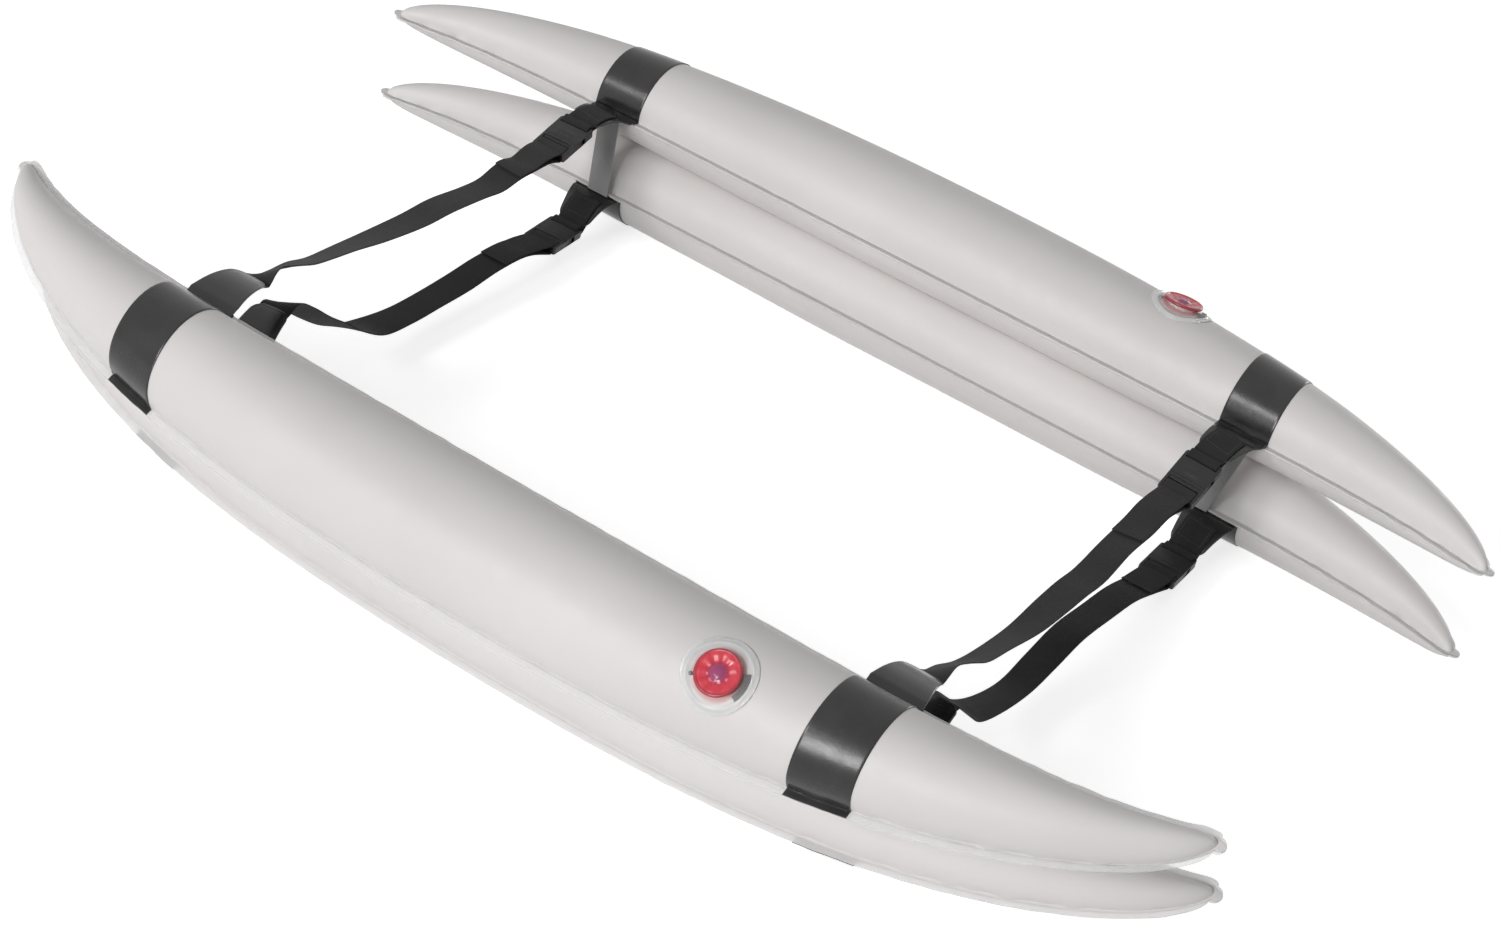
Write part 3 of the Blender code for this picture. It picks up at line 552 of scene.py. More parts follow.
def add_tube(side, level, look):
    bm = bmesh.new()
    rings = [tube_ring(side, level, x) for x in tube_stations()]
    skin_rows(bm, [ring[0] for ring in rings], values={"film": [ring[1] for ring in rings]})
    nodes = [f"{side}_{level}_tube_{face}_panel" for face in ("top", "bottom")]
    tube = add_piece(f"{side}_{level}_tube", bm, look, None, nodes, 50)
    if level == "upper":
        cut_well(tube, side)
    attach(tube, f"{side}_pontoon")


def cut_well(tube, side):
    """Hole for the valve, as deep as the room that its flap needs."""
    bm = bmesh.new()
    bmesh.ops.create_cone(
        bm,
        cap_ends=True,
        segments=48,
        radius1=BARREL_RADIUS + HOLE_CLEARANCE,
        radius2=BARREL_RADIUS + HOLE_CLEARANCE,
        depth=WELL_DEPTH + WELL_RISE,
    )
    shift = Matrix.Translation((0, 0, WELL_RISE - (WELL_DEPTH + WELL_RISE) / 2))
    bmesh.ops.transform(bm, matrix=PLACE[side] @ valve_matrix(side) @ shift, verts=bm.verts)
    mesh = new_mesh("well", bm)
    cutter = new_object("well", mesh)
    cut = tube.modifiers.new("well", "BOOLEAN")
    cut.operation = "DIFFERENCE"
    cut.solver = "EXACT"
    cut.object = cutter
    apply_modifiers(tube)
    bpy.data.objects.remove(cutter)
    bpy.data.meshes.remove(mesh)


def apply_modifiers(piece):
    bpy.context.view_layer.update()
    graph = bpy.context.evaluated_depsgraph_get()
    made = bpy.data.meshes.new_from_object(piece.evaluated_get(graph))
    old = piece.data
    name = old.name
    piece.modifiers.clear()
    piece.data = made
    bpy.data.meshes.remove(old)
    made.name = name


# Bands and risers


def weld_rise(turn):
    """Height of the weld bead that runs across a band near each of its ends."""
    reach = min(turn, 1 - turn)
    bead = math.exp(-(((reach - 0.055) / 0.010) ** 2))
    groove = 0.6 * math.exp(-(((reach - 0.078) / 0.012) ** 2))
    return WELD_BEAD * (bead - groove)


def add_band(side, end, level, look):
    """Vinyl band over one tube, from flange edge to flange edge, with a weld bead near its ends."""
    half = LEVEL_SIGN[level]
    middle = END_SIGN[end] * BAND_X[side]
    low, high = middle - BAND_WIDTH / 2, middle + BAND_WIDTH / 2
    spots = [(low + inset, fill) for inset, fill in BAND_ROUND]
    spots += [(low + (high - low) * step / BAND_STEPS, 1.0) for step in range(1, BAND_STEPS)]
    spots += [(high - inset, fill) for inset, fill in reversed(BAND_ROUND)]
    turns = [step / DOME_STEPS for step in range(DOME_STEPS + 1)]
    rows = []
    for x, fill in spots:
        top = GAP + BAND * fill

        def flange(hand, outs, lift):
            return [flange_point(side, level, x, hand, out, half, lift) for out in outs]

        row = flange(1, BAND_OUTS[::-1], top)
        row += [skin(side, level, x, half, turn, top + fill * weld_rise(turn)) for turn in turns]
        row += flange(-1, BAND_OUTS, top) + flange(-1, BAND_OUTS[::-2], GAP)
        row += [skin(side, level, x, half, turn, GAP) for turn in reversed(turns)]
        row += flange(1, BAND_OUTS[::2], GAP)
        rows.append([to_world(side, point) for point in row])
    bm = bmesh.new()
    skin_rows(bm, rows)
    name = f"{side}_{end}_{level}_band"
    add_piece(f"{name}_vinyl", bm, look, f"{side}_pontoon", [name])


def flange_tip(side, end, level):
    x = END_SIGN[end] * BAND_X[side]
    inner = -sweep_of(x) - flange_edge_of(x)
    height = LEVEL_SIGN[level] * (STACK_HEIGHT / 2 + seam_height(x, SEAM_LEAN[level]))
    return Vector((along(x, side), SIDE_SIGN[side] * inner, height))


def add_riser(side, end, look):
    middle = END_SIGN[end] * BAND_X[side]
    spots = {level: middle + RISER_SHIFT[(end, level)] for level in LEVEL_SIGN}
    edges = [spot + part * RISER_WIDTH / 2 for spot in spots.values() for part in (-1, 1)]
    reach = max(sweep_of(x) + flange_edge_of(x) for x in edges)
    across = -SIDE_SIGN[side] * (reach + GAP + WEBBING / 2)
    heights = {level: flange_tip(side, end, level).z for level in LEVEL_SIGN}
    top, bottom = (
        Vector((along(spots[level], side), across, heights[level] + sign * RISER_SEAT))
        for level, sign in LEVEL_SIGN.items()
    )
    path = [PLACE[side] @ top.lerp(bottom, step / RISER_STEPS) for step in range(RISER_STEPS + 1)]
    name = f"{side}_{end}_riser"
    bm = bmesh.new()
    webbing(bm, path, [Vector((1, 0, 0))] * len(path), RISER_WIDTH, level_ends=True)
    add_piece(f"{name}_webbing", bm, look, f"{side}_pontoon", [name])


# Flat strips


def strip_profile(width, thickness):
    """Rounded flat cross-section: distance across and height, going once round."""
    radius = thickness / 2
    half = width / 2
    across = [half - radius, half * 0.8, half * 0.55, half * 0.3, 0.0]
    top = [(a, radius) for a in across] + [(-a, radius) for a in reversed(across[:-1])]
    turns = [math.radians(degrees) for degrees in (40, 90, 140)]
    left = [(-half + radius - radius * math.sin(t), radius * math.cos(t)) for t in turns]
    bottom = [(-a, -h) for a, h in top]
    right = [(-a, -h) for a, h in left]
    return top + left + bottom + right


def frames_along(path, sides, level_ends=False):
    """Place, width direction and normal at each point of a path."""
    out = []
    for index, point in enumerate(path):
        before, after = path[max(0, index - 1)], path[min(len(path) - 1, index + 1)]
        tangent = (after - before).normalized()
        if level_ends:
            across = sides[index].normalized()
            normal = across.cross(tangent).normalized()
        else:
            across = (sides[index] - tangent * sides[index].dot(tangent)).normalized()
            normal = across.cross(tangent)
        out.append((point, across, normal))
    return out


def webbing(bm, path, sides, width, level_ends=False):
    """Woven strip with rounded edges; its map holds metres across and along it."""
    profile = strip_profile(width, WEBBING)
    run = 0.0
    rows, us, vs = [], [], []
    places = frames_along(path, sides, level_ends)
    for index, (point, across, normal) in enumerate(places):
        if index:
            run += (point - places[index - 1][0]).length
        rows.append([point + across * a + normal * h for a, h in profile])
        us.append([a for a, h in profile])
        vs.append([run] * len(profile))
    skin_rows(bm, rows, values={"strip_u": us, "strip_v": vs})


def catmull(four, t):
    weights = (
        -0.5 * t + t * t - 0.5 * t**3,
        1 - 2.5 * t * t + 1.5 * t**3,
        0.5 * t + 2 * t * t - 1.5 * t**3,
        -0.5 * t * t + 0.5 * t**3,
    )
    place = sum((point[0] * weight for point, weight in zip(four, weights)), Vector())
    return place, sum(point[1] * weight for point, weight in zip(four, weights))


def smooth_route(points, spacing=ROUTE_STEP):
    """Curve through the route's points; a point is a place and a number that goes with it."""
    out = []
    for index in range(len(points) - 1):
        four = [points[min(max(n, 0), len(points) - 1)] for n in range(index - 1, index + 3)]
        steps = max(1, round((points[index + 1][0] - points[index][0]).length / spacing))
        for step in range(steps):
            out.append(catmull(four, step / steps))
    out.append(points[-1])
    return out


# Tabs


def tab_path(side, end, level):
    """Centre line of a vinyl tab in world space, from its weld on the flange to its free end."""
    sign = SIDE_SIGN[side]
    half = LEVEL_SIGN[level]
    lift = half * (GAP / 2 + FILM + GAP + BAND + GAP + TAB / 2)
    edge = flange_tip(side, end, level)
    root = PLACE[side] @ (edge + Vector((0, sign * TAB_ROOT_OVERLAP, lift)))
    start, lip = (PLACE[side] @ (edge + Vector((0, -sign * past, lift))) for past in TAB_LIP)
    reach = TAB_LENGTH[side]
    shift, rise = TAB_AIM[(side, end, level)]
    inward = Vector((shift, -sign, rise)).normalized()
    bow = Vector((0, 0, TAB_CROWN))
    points = [root, start, lip]
    for part in (0.25, 0.5, 0.75, 1.0):
        points.append(lip + inward * reach * part + bow * 4 * part * (1 - part))
    return points


def tab_half_width(run, length):
    """Half width of a tab at a distance from its root; its free end has round corners."""
    straight = TAB_ROOT_OVERLAP + TAB_LIP[1]
    part = min(1.0, max(0.0, (run - straight) / (length - straight)))
    half = (TAB_ROOT_WIDTH - (TAB_ROOT_WIDTH - TAB_END_WIDTH) * part**0.85) / 2
    left = length - run
    if left < TAB_CORNER:
        half -= TAB_CORNER - math.sqrt(max(0.0, TAB_CORNER**2 - (TAB_CORNER - left) ** 2))
    return half


def tab_rows(path):
    """Even points along a tab, with the distance run at each."""
    curve = [place for place, number in smooth_route([(point, 0.0) for point in path], TAB_STEP)]
    runs = [0.0]
    for one, two in zip(curve, curve[1:]):
        runs.append(runs[-1] + (two - one).length)
    return curve, runs


def add_tab(side, end, level, look):
    curve, runs = tab_rows(tab_path(side, end, level))
    length = runs[-1]
    places = frames_along(curve, [Vector((1, 0, 0))] * len(curve))
    shares = [-1, -0.985, -0.95] + [-0.9 + 0.1 * step for step in range(19)] + [0.95, 0.985, 1]
    rows = []
    for (point, across, normal), run in zip(places, runs):
        half = tab_half_width(run, length)
        row = []
        for face in (1, -1):
            for part in shares if face > 0 else reversed(shares):
                edge = min(half * (1 - abs(part)), max(0.0, length - run))
                fill = math.sqrt(min(1.0, edge / TAB_EDGE))
                weld = TAB_WELD_RISE * math.exp(-(((edge - TAB_WELD_INSET) / TAB_WELD_HALF) ** 2))
                rise = face * (TAB / 2 * (0.35 + 0.65 * fill) - weld)
                row.append(point + across * part * half + normal * rise)
        rows.append(row)
    bm = bmesh.new()
    skin_rows(bm, rows)
    name = f"{side}_{end}_{level}_tab"
    add_piece(f"{name}_vinyl", bm, look, f"{side}_pontoon", [name])


def offset_path(path, sides, distance):
    """Path shifted square to a strip's face, keeping the same distance along its bends."""
    out = []
    for index, point in enumerate(path):
        behind = (point - path[index - 1]).normalized() if index else Vector()
        ahead = (path[index + 1] - point).normalized() if index < len(path) - 1 else Vector()
        tangent = (behind + ahead).normalized()
        mitre = 1 / max(0.6, tangent.dot(ahead if index == 0 else behind))
        out.append(point + tangent.cross(sides).normalized() * distance * mitre)
    return out


# Buckles: X across the webbing, Y from the tab side to the strap side, Z out of the top face


def buckle_direction(end, level):
    shift, rise = BUCKLE_AIM[(end, level)]
    return Vector((shift, -1, rise)).normalized()


def buckle_matrix(end, level):
    ahead = buckle_direction(end, level)
    across = Vector((1, 0, 0))
    across = (across - ahead * across.dot(ahead)).normalized()
    across.negate()
    out = across.cross(ahead)
    start = tab_path("far", end, level)[-1] + ahead * LOOP_REACH
    return Matrix.Translation(start) @ Matrix((across, ahead, out)).transposed().to_4x4()


def corner_arc(centre, radius, start, stop, steps=5):
    """Points of an arc in a buckle's YZ plane, angles in degrees."""
    turns = [math.radians(start + (stop - start) * step / steps) for step in range(steps + 1)]
    return [(centre[0] + radius * math.cos(t), centre[1] + radius * math.sin(t)) for t in turns]


def add_anchor_loop(end, level, look):
    """Webbing sewn along the far tab and looped round the buckle's tab-side bar."""
    place = buckle_matrix(end, level)
    tab = tab_path("far", end, level)
    lift = TAB / 2 + 2 * GAP + WEBBING / 2
    wrap = BUCKLE_THICKNESS / 2 + 2 * GAP + WEBBING / 2
    through = BAR + SLOT / 2
    lengthwise = Vector((1, 0, 0))
    past = tab + [tab[-1] + (tab[-1] - tab[-2]).normalized() * LOOP_SLACK]
    over = offset_path(past, lengthwise, lift)[3:]
    under = offset_path(past, lengthwise, -lift)[:4:-1]
    bend = ANCHOR_BEND
    spots = [(-LOOP_SLACK, wrap)]
    spots += corner_arc((through - bend, wrap - bend), bend, 90, 0)
    spots += corner_arc((through - bend, bend - wrap), bend, 0, -90)
    spots += [(-LOOP_SLACK, -wrap)]
    loop = [place @ Vector((0, y, z)) for y, z in spots]
    first = smooth_route([(point, 0.0) for point in over + loop[:1]])[:-1]
    last = smooth_route([(point, 0.0) for point in loop[-1:] + under])[1:]
    path = [point for point, number in first] + loop + [point for point, number in last]
    across = -(place.to_3x3() @ lengthwise)
    sides = [lengthwise] * len(first) + [across] * len(loop) + [lengthwise] * len(last)
    bm = bmesh.new()
    webbing(bm, path, sides, WEBBING_WIDTH)
    name = f"{end}_{level}_anchor_loop"
    add_piece(f"{name}_webbing", bm, look, "far_pontoon", [name])


def strap_ends(end, level):
    start = sewn_part(end, level)[-1]
    frame_end = FEMALE_LENGTH + GAP + MALE_FRAME_LENGTH
    under = -(BUCKLE_THICKNESS / 2 - WEBBING / 2)
    finish = buckle_matrix(end, level) @ Vector((0, frame_end + RUNNING_GAP, under))
    return start, finish


def sewn_part(end, level):
    """Start of a strap, sewn along the underside of its near tab."""
    near = tab_path("near", end, level)
    near.append(near[-1] + (near[-1] - near[-2]).normalized() * SEWN_END)
    return offset_path(near, Vector((1, 0, 0)), TAB / 2 + 2 * GAP + WEBBING / 2)[-3:]


def width_direction(tangent, twist):
    across = Vector((1, 0, 0))
    across = (across - tangent * across.dot(tangent)).normalized()
    turn = math.radians(twist)
    return across * math.cos(turn) + across.cross(tangent) * math.sin(turn)


def add_strap(end, level, look):
    """Webbing from the near tab, under the buckle frame, round its middle bar and back on top."""
    start, finish = strap_ends(end, level)
    points = [(place, 0.0) for place in sewn_part(end, level)]
    for part, rise, twist in STRAP_ROUTE[(end, level)]:
        points.append((start.lerp(finish, part) + Vector((0, 0, rise)), twist))
    points.append((finish, 0.0))
    route = smooth_route(points)
    path = [place for place, twist in route]
    sides = []
    for index, (place, twist) in enumerate(route):
        before, after = path[max(0, index - 1)], path[min(len(path) - 1, index + 1)]
        sides.append(width_direction((after - before).normalized(), twist))
    buckle = buckle_matrix(end, level)
    across = -(buckle.to_3x3() @ Vector((1, 0, 0)))
    frame_end = FEMALE_LENGTH + GAP + MALE_FRAME_LENGTH
    turn_in = frame_end - 2 * BAR - 1.5 * SLOT
    layer = BUCKLE_THICKNESS / 2 - WEBBING / 2
    bend = LOCK_BEND
    spots = [(frame_end - BAR - SLOT, -layer)]
    spots += corner_arc((turn_in + bend, bend - layer), bend, -90, -180)
    spots += corner_arc((turn_in + bend, layer - bend), bend, 180, 90)
    spots += [(frame_end - BAR - SLOT, layer), (frame_end + RUNNING_GAP, layer)]
    loop = [buckle @ Vector((0, y, z)) for y, z in spots]
    tail, tail_sides = tail_over(path, sides, TAIL_LENGTH[(end, level)])
    whole = path + loop + tail
    bm = bmesh.new()
    webbing(bm, whole, sides + [across] * len(loop) + tail_sides, WEBBING_WIDTH)
    name = f"{end}_{level}_strap"
    strap = add_piece(f"{name}_webbing", bm, look, None, [name])
    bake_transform(strap, "near_pontoon", "far_pontoon", start=start, end=(start.x, BLEND_END, start.z))


def tail_over(path, sides, length):
    """Loose end of a strap, lying a little above the strap on its way back."""
    out, out_sides, run = [], [], 0.0
    for index in range(len(path) - 2, 0, -1):
        run += (path[index + 1] - path[index]).length
        if run > length:
            break
        tangent = (path[index - 1] - path[index + 1]).normalized()
        normal = sides[index].cross(-tangent)
        fade = max(0.0, 1 - run / TAIL_FADE)
        lift = WEBBING + TAIL_LIFT + fade * (BUCKLE_THICKNESS - 2 * WEBBING)
        out.append(path[index] + normal * lift)
        out_sides.append(sides[index])
    return out, out_sides


def cell_solid(xs, ys, zs, filled):
    """Closed solid of the filled cells of a grid, given the grid lines on each axis."""
    bm = bmesh.new()
    corner = {}
    counts = (len(xs) - 1, len(ys) - 1, len(zs) - 1)

    def vert(i, j, k):
        if (i, j, k) not in corner:
            corner[(i, j, k)] = bm.verts.new((xs[i], ys[j], zs[k]))
        return corner[(i, j, k)]

    def is_filled(cell):
        if any(not 0 <= place < count for place, count in zip(cell, counts)):
            return False
        return filled(*[(line[n] + line[n + 1]) / 2 for line, n in zip((xs, ys, zs), cell)])

    faces = {
        (-1, 0, 0): ((0, 0, 0), (0, 0, 1), (0, 1, 1), (0, 1, 0)),
        (1, 0, 0): ((1, 0, 0), (1, 1, 0), (1, 1, 1), (1, 0, 1)),
        (0, -1, 0): ((0, 0, 0), (1, 0, 0), (1, 0, 1), (0, 0, 1)),
        (0, 1, 0): ((0, 1, 0), (0, 1, 1), (1, 1, 1), (1, 1, 0)),
        (0, 0, -1): ((0, 0, 0), (0, 1, 0), (1, 1, 0), (1, 0, 0)),
        (0, 0, 1): ((0, 0, 1), (1, 0, 1), (1, 1, 1), (0, 1, 1)),
    }
    for i in range(counts[0]):
        for j in range(counts[1]):
            for k in range(counts[2]):
                if not is_filled((i, j, k)):
                    continue
                for (di, dj, dk), corners in faces.items():
                    if not is_filled((i + di, j + dj, k + dk)):
                        bm.faces.new([vert(i + a, j + b, k + c) for a, b, c in corners])
    return bm


def spread(stops, step):
    """Grid lines at the stops and between them, no closer than the step."""
    lines = [stops[0]]
    for stop in stops[1:]:
        count = max(1, int((stop - lines[-1]) / step))
        start = lines[-1]
        lines += [start + (stop - start) * (n + 1) / count for n in range(count)]
    return lines


def shape_moulding(bm, end):
    """Round the corners at the webbing end, crown the outer faces and raise the grip ribs."""
    half, thick = BUCKLE_WIDTH / 2, BUCKLE_THICKNESS / 2
    inner = WEBBING_WIDTH / 2 + RUNNING_GAP
    ribs = (FEMALE_LENGTH - GRIP_START, FEMALE_LENGTH - GRIP_END)
    for vert in bm.verts:
        x, y, z = vert.co
        if abs(abs(z) - thick) < TINY:
            top = thick - CROWN * (x / half) ** 2
            if z > 0 and ribs[0] < y < ribs[1] and abs(x) < GRIP_HALF:
                top += GRIP_RIB * (0.5 - 0.5 * math.cos(2 * math.pi * (y - ribs[0]) / GRIP_PITCH))
            vert.co.z = math.copysign(top, z)
        depth = abs(y - end)
        if abs(x) > inner and depth < CORNER:
            cut = 1 - math.sqrt(1 - (1 - depth / CORNER) ** 2)
            kept = 1 - CORNER_CUT * cut / (half - inner)
            vert.co.x = math.copysign(inner + (abs(x) - inner) * kept, x)


def female_solid():
    half, thick, wall = BUCKLE_WIDTH / 2, BUCKLE_THICKNESS / 2, BUCKLE_WALL
    mouth = FEMALE_LENGTH - SOCKET_DEPTH
    slot_half = WEBBING_WIDTH / 2 + RUNNING_GAP
    window = (mouth + WINDOW_START, mouth + WINDOW_START + WINDOW_LENGTH)

    def filled(x, y, z):
        in_slot = BAR < y < BAR + SLOT and abs(x) < slot_half
        in_socket = y > mouth and abs(x) < half - wall and abs(z) < thick - wall
        in_window = window[0] < y < window[1] and abs(x) > half - wall and abs(z) < thick - wall
        return not (in_slot or in_socket or in_window)

    xs = sorted([-half, -half + wall, -slot_half, slot_half, half - wall, half])
    ys = [0, 0.5 * CORNER, BAR, BAR + SLOT, mouth, *window]
    grip = [FEMALE_LENGTH - GRIP_START, FEMALE_LENGTH - GRIP_END]
    ys = sorted(set(spread(sorted(ys), LONG_CELL) + spread(grip, GRIP_CELL))) + [FEMALE_LENGTH]
    zs = [-thick, -thick + wall, thick - wall, thick]
    bm = cell_solid(spread(xs, CROSS_CELL), ys, zs, filled)
    shape_moulding(bm, 0)
    return bm


def male_solid():
    half, thick = BUCKLE_WIDTH / 2, BUCKLE_THICKNESS / 2
    slot_half = WEBBING_WIDTH / 2 + RUNNING_GAP
    body = MALE_FRAME_LENGTH - 3 * BAR - 2 * SLOT
    start = FEMALE_LENGTH + GAP
    slots = [start + body + BAR, start + body + BAR + SLOT]
    slots += [slots[1] + BAR, slots[1] + BAR + SLOT]
    end = start + MALE_FRAME_LENGTH
    tongue = start - (SOCKET_DEPTH - 3 * RUNNING_GAP)
    bar_thick = thick - WEBBING - 2 * RUNNING_GAP

    def filled(x, y, z):
        if y < start:
            return abs(x) < GUIDE_WIDTH / 2 and abs(z) < ARM_HEIGHT / 2
        if y < start + body:
            return True
        in_slot = slots[0] < y < slots[1] or slots[2] < y < slots[3]
        return abs(x) > slot_half or (abs(z) < bar_thick and not in_slot)

    xs = [-half, -slot_half, -GUIDE_WIDTH / 2, GUIDE_WIDTH / 2, slot_half, half]
    ys = sorted([tongue, start, start + body, *slots, end - 0.5 * CORNER, end])
    zs = [-thick, -bar_thick, -ARM_HEIGHT / 2, ARM_HEIGHT / 2, bar_thick, thick]
    bm = cell_solid(spread(xs, CROSS_CELL), spread(ys, LONG_CELL), sorted(set(zs)), filled)
    shape_moulding(bm, end)
    return bm


def arm_pivot(hand):
    inset = BUCKLE_WIDTH / 2 - BUCKLE_WALL - RUNNING_GAP - BARB - ARM_THICKNESS / 2
    return Vector((hand * inset, FEMALE_LENGTH - GAP, 0))


def arm_solid(hand):
    """Springy arm whose ribbed thumb pad stands in the socket's window."""
    mouth = FEMALE_LENGTH - SOCKET_DEPTH
    pad = (mouth + WINDOW_START + RUNNING_GAP, mouth + WINDOW_START + WINDOW_LENGTH - RUNNING_GAP)
    pivot = arm_pivot(hand)
    tip = max(mouth + RUNNING_GAP, FEMALE_LENGTH - ARM_LENGTH)
    face = ARM_THICKNESS / 2 + BARB + BUCKLE_WALL
    middle = (pad[0] + pad[1]) / 2
    side = ARM_THICKNESS / 2
    outline = [(-side, 0), (side, 0), (side, pad[1] - pivot.y)]
    for rib in range(PAD_RIBS):
        high = pad[1] + (middle - pad[1]) * rib / PAD_RIBS - pivot.y
        low = pad[1] + (middle - pad[1]) * (rib + 0.5) / PAD_RIBS - pivot.y
        rise = low * 0.5 + high * 0.5 - (high - low) * 0.99
        outline += [(face, high), (face, low), (face - GRIP_RIB, low), (face - GRIP_RIB, rise)]
    outline += [
        (face, middle - pivot.y),
        (side + BARB * 0.7, pad[0] - pivot.y),
        (side, tip - pivot.y),
        (-side, tip - pivot.y),
    ]
    bm = bmesh.new()
    faces = (-ARM_HEIGHT / 2, ARM_HEIGHT / 2)
    skin_rows(bm, [[Vector((hand * x, y, z)) for x, y in outline] for z in faces])
    return bm


def round_edges(piece, width):
    bevel = piece.modifiers.new("round", "BEVEL")
    bevel.width = width
    bevel.segments = 3
    bevel.limit_method = "ANGLE"
    bevel.angle_limit = math.radians(40)
    bevel.harden_normals = False
    apply_modifiers(piece)
    piece.data.shade_smooth()
    piece.data.set_sharp_from_angle(angle=math.radians(50))


def moulded(name, bm, place, look, body, node, width):
    bmesh.ops.transform(bm, matrix=place, verts=bm.verts)
    piece = add_piece(name, bm, look, None, [node])
    round_edges(piece, width)
    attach(piece, body)


def add_buckle(end, level, look):
    place = buckle_matrix(end, level)
    name = f"{end}_{level}_buckle"
    body = "far_pontoon"
    moulded(f"{name}_socket", female_solid(), place, look, body, f"{name}_female", MOULD_ROUND)
    moulded(f"{name}_lock", male_solid(), place, look, body, f"{name}_male", MOULD_ROUND)
    for letter, hand in (("a", -1), ("b", 1)):
        at_pivot = place @ Matrix.Translation(arm_pivot(hand))
        body, node = f"{end}_{level}_release_{letter}", f"{name}_arm_{letter}"
        moulded(f"{name}_press_{letter}", arm_solid(hand), at_pivot, look, body, node, ARM_ROUND)


# Valves


def drop_to_skin(side, point, out):
    """Slide a point along -out until it lies on the tube's smooth outer face."""
    width, height = tube_half_width_of(point.x), tube_half_height_of(point.x)
    u = SIDE_SIGN[side] * point.y + sweep_of(point.x)
    w = point.z - STACK_HEIGHT / 2
    du, dw = SIDE_SIGN[side] * out.y, out.z
    a = (du / width) ** 2 + (dw / height) ** 2
    b = -2 * (u * du / width**2 + w * dw / height**2)
    c = (u / width) ** 2 + (w / height) ** 2 - 1
    slide = (-b - math.sqrt(b * b - 4 * a * c)) / (2 * a)
    return point - out * slide


def revolve(profile, steps=TURN_STEPS, change=None):
    """Closed solid of revolution about Z; change may move a point given its turn."""
    bm = bmesh.new()
    rings = []
    for radius, height in profile:
        ring = []
        for step in range(steps if radius > 0 else 1):
            turn = 2 * math.pi * step / steps
            r, h = change(radius, height, turn) if change else (radius, height)
            ring.append(bm.verts.new((r * math.cos(turn), r * math.sin(turn), h)))
        rings.append(ring)
    for one, two in zip(rings, rings[1:]):
        for step in range(steps):
            after = (step + 1) % steps
            corners = [one[step % len(one)], one[after % len(one)]]
            corners += [two[after % len(two)], two[step % len(two)]]
            unique = list(dict.fromkeys(corners))
            if len(unique) > 2:
                bm.faces.new(unique)
    return bm


def valve_base(side):
    """Clear moulding: a ribbed flange that hugs the tube, a collar, and a barrel."""
    place = valve_matrix(side)
    back = place.inverted()
    out = place.to_3x3() @ Vector((0, 0, 1))
    seat, thick, ring = VALVE_SEAT, VALVE_FLANGE, BASE_RING_RADIUS
    profile = [
        (BORE_RADIUS, -BARREL_DEPTH, False),
        (BARREL_RADIUS, -BARREL_DEPTH, False),
        (BARREL_RADIUS, seat, True),
        (0.0150, seat, True),
        (0.0200, seat, True),
        (0.0250, seat, True),
        (0.0300, seat, True),
        (VALVE_FLANGE_RADIUS - 0.0004, seat, True),
        (VALVE_FLANGE_RADIUS, seat + 0.5 * thick, True),
        (VALVE_FLANGE_RADIUS - 0.0004, seat + thick, True),
        (ring + 0.0012, seat + thick, True),
        (ring + 0.0005, seat + thick + 0.0005, True),
        (ring - 0.0005, seat + thick + 0.0005, True),
        (ring - 0.0012, seat + thick, True),
        (0.0260, seat + thick, True),
        (COLLAR_RADIUS + 0.0030, seat + thick, True),
        (COLLAR_RADIUS + 0.0008, seat + thick + 0.0004, True),
        (COLLAR_RADIUS, COLLAR_HEIGHT - 0.0005, False),
        (COLLAR_RADIUS - 0.0006, COLLAR_HEIGHT, False),
        (BORE_RADIUS + 0.0006, COLLAR_HEIGHT, False),
        (BORE_RADIUS, COLLAR_HEIGHT - 0.0006, False),
        (BORE_RADIUS, -0.0040, False),
    ]
    bm = bmesh.new()
    rings = []
    for step in range(TURN_STEPS):
        turn = 2 * math.pi * step / TURN_STEPS
        row = []
        for radius, height, hugging in profile:
            point = Vector((radius * math.cos(turn), radius * math.sin(turn), height))
            if hugging:
                flat = place @ Vector((point.x, point.y, 0))
                point = back @ (drop_to_skin(side, flat, out) + out * height)
            row.append(bm.verts.new(point))
        rings.append(row)
    for step, row in enumerate(rings):
        after = rings[(step + 1) % TURN_STEPS]
        for index in range(len(row)):
            nxt = (index + 1) % len(row)
            bm.faces.new((row[index], row[nxt], after[nxt], after[index]))
    return bm


def valve_cap():
    """Soft cap: a dished disc with faint flutes round a raised hub, a rolled rim, and a plug."""
    bottom = COLLAR_HEIGHT + GAP
    top = bottom + CAP_THICKNESS
    radius = CAP_RADIUS
    plug = BORE_RADIUS - GAP
    profile = [
        (0, top - 0.0003),
        (0.12 * radius, top - 0.0001),
        (0.20 * radius, top - 0.0004),
        (0.27 * radius, top - 0.0013),
        (0.36 * radius, top - 0.0024),
        (0.46 * radius, top - 0.0027),
        (0.53 * radius, top - 0.0025),
        (0.60 * radius, top - 0.0023),
        (0.68 * radius, top - 0.0020),
        (0.76 * radius, top - 0.0018),
        (0.84 * radius, top - 0.0019),
        (0.87 * radius, top - 0.0013),
        (0.91 * radius, top - 0.0009),
        (0.96 * radius, top - 0.0011),
        (0.99 * radius, top - 0.0019),
        (radius, top - 0.0030),
        (0.985 * radius, bottom + 0.0004),
        (0.96 * radius, bottom),
        (plug, bottom),
        (plug, -SPIGOT_DEPTH + 0.0008),
        (plug - 0.0008, -SPIGOT_DEPTH),
        (0, -SPIGOT_DEPTH),
    ]

    def flutes(r, h, turn):
        part = (r / radius - 0.27) / 0.57
        if bottom + 0.001 < h and 0 < part < 1:
            h += CAP_FLUTE * math.sin(math.pi * part) * math.cos(CAP_FLUTES * turn)
        return r, h

    return revolve(profile, TURN_STEPS * 2, flutes)


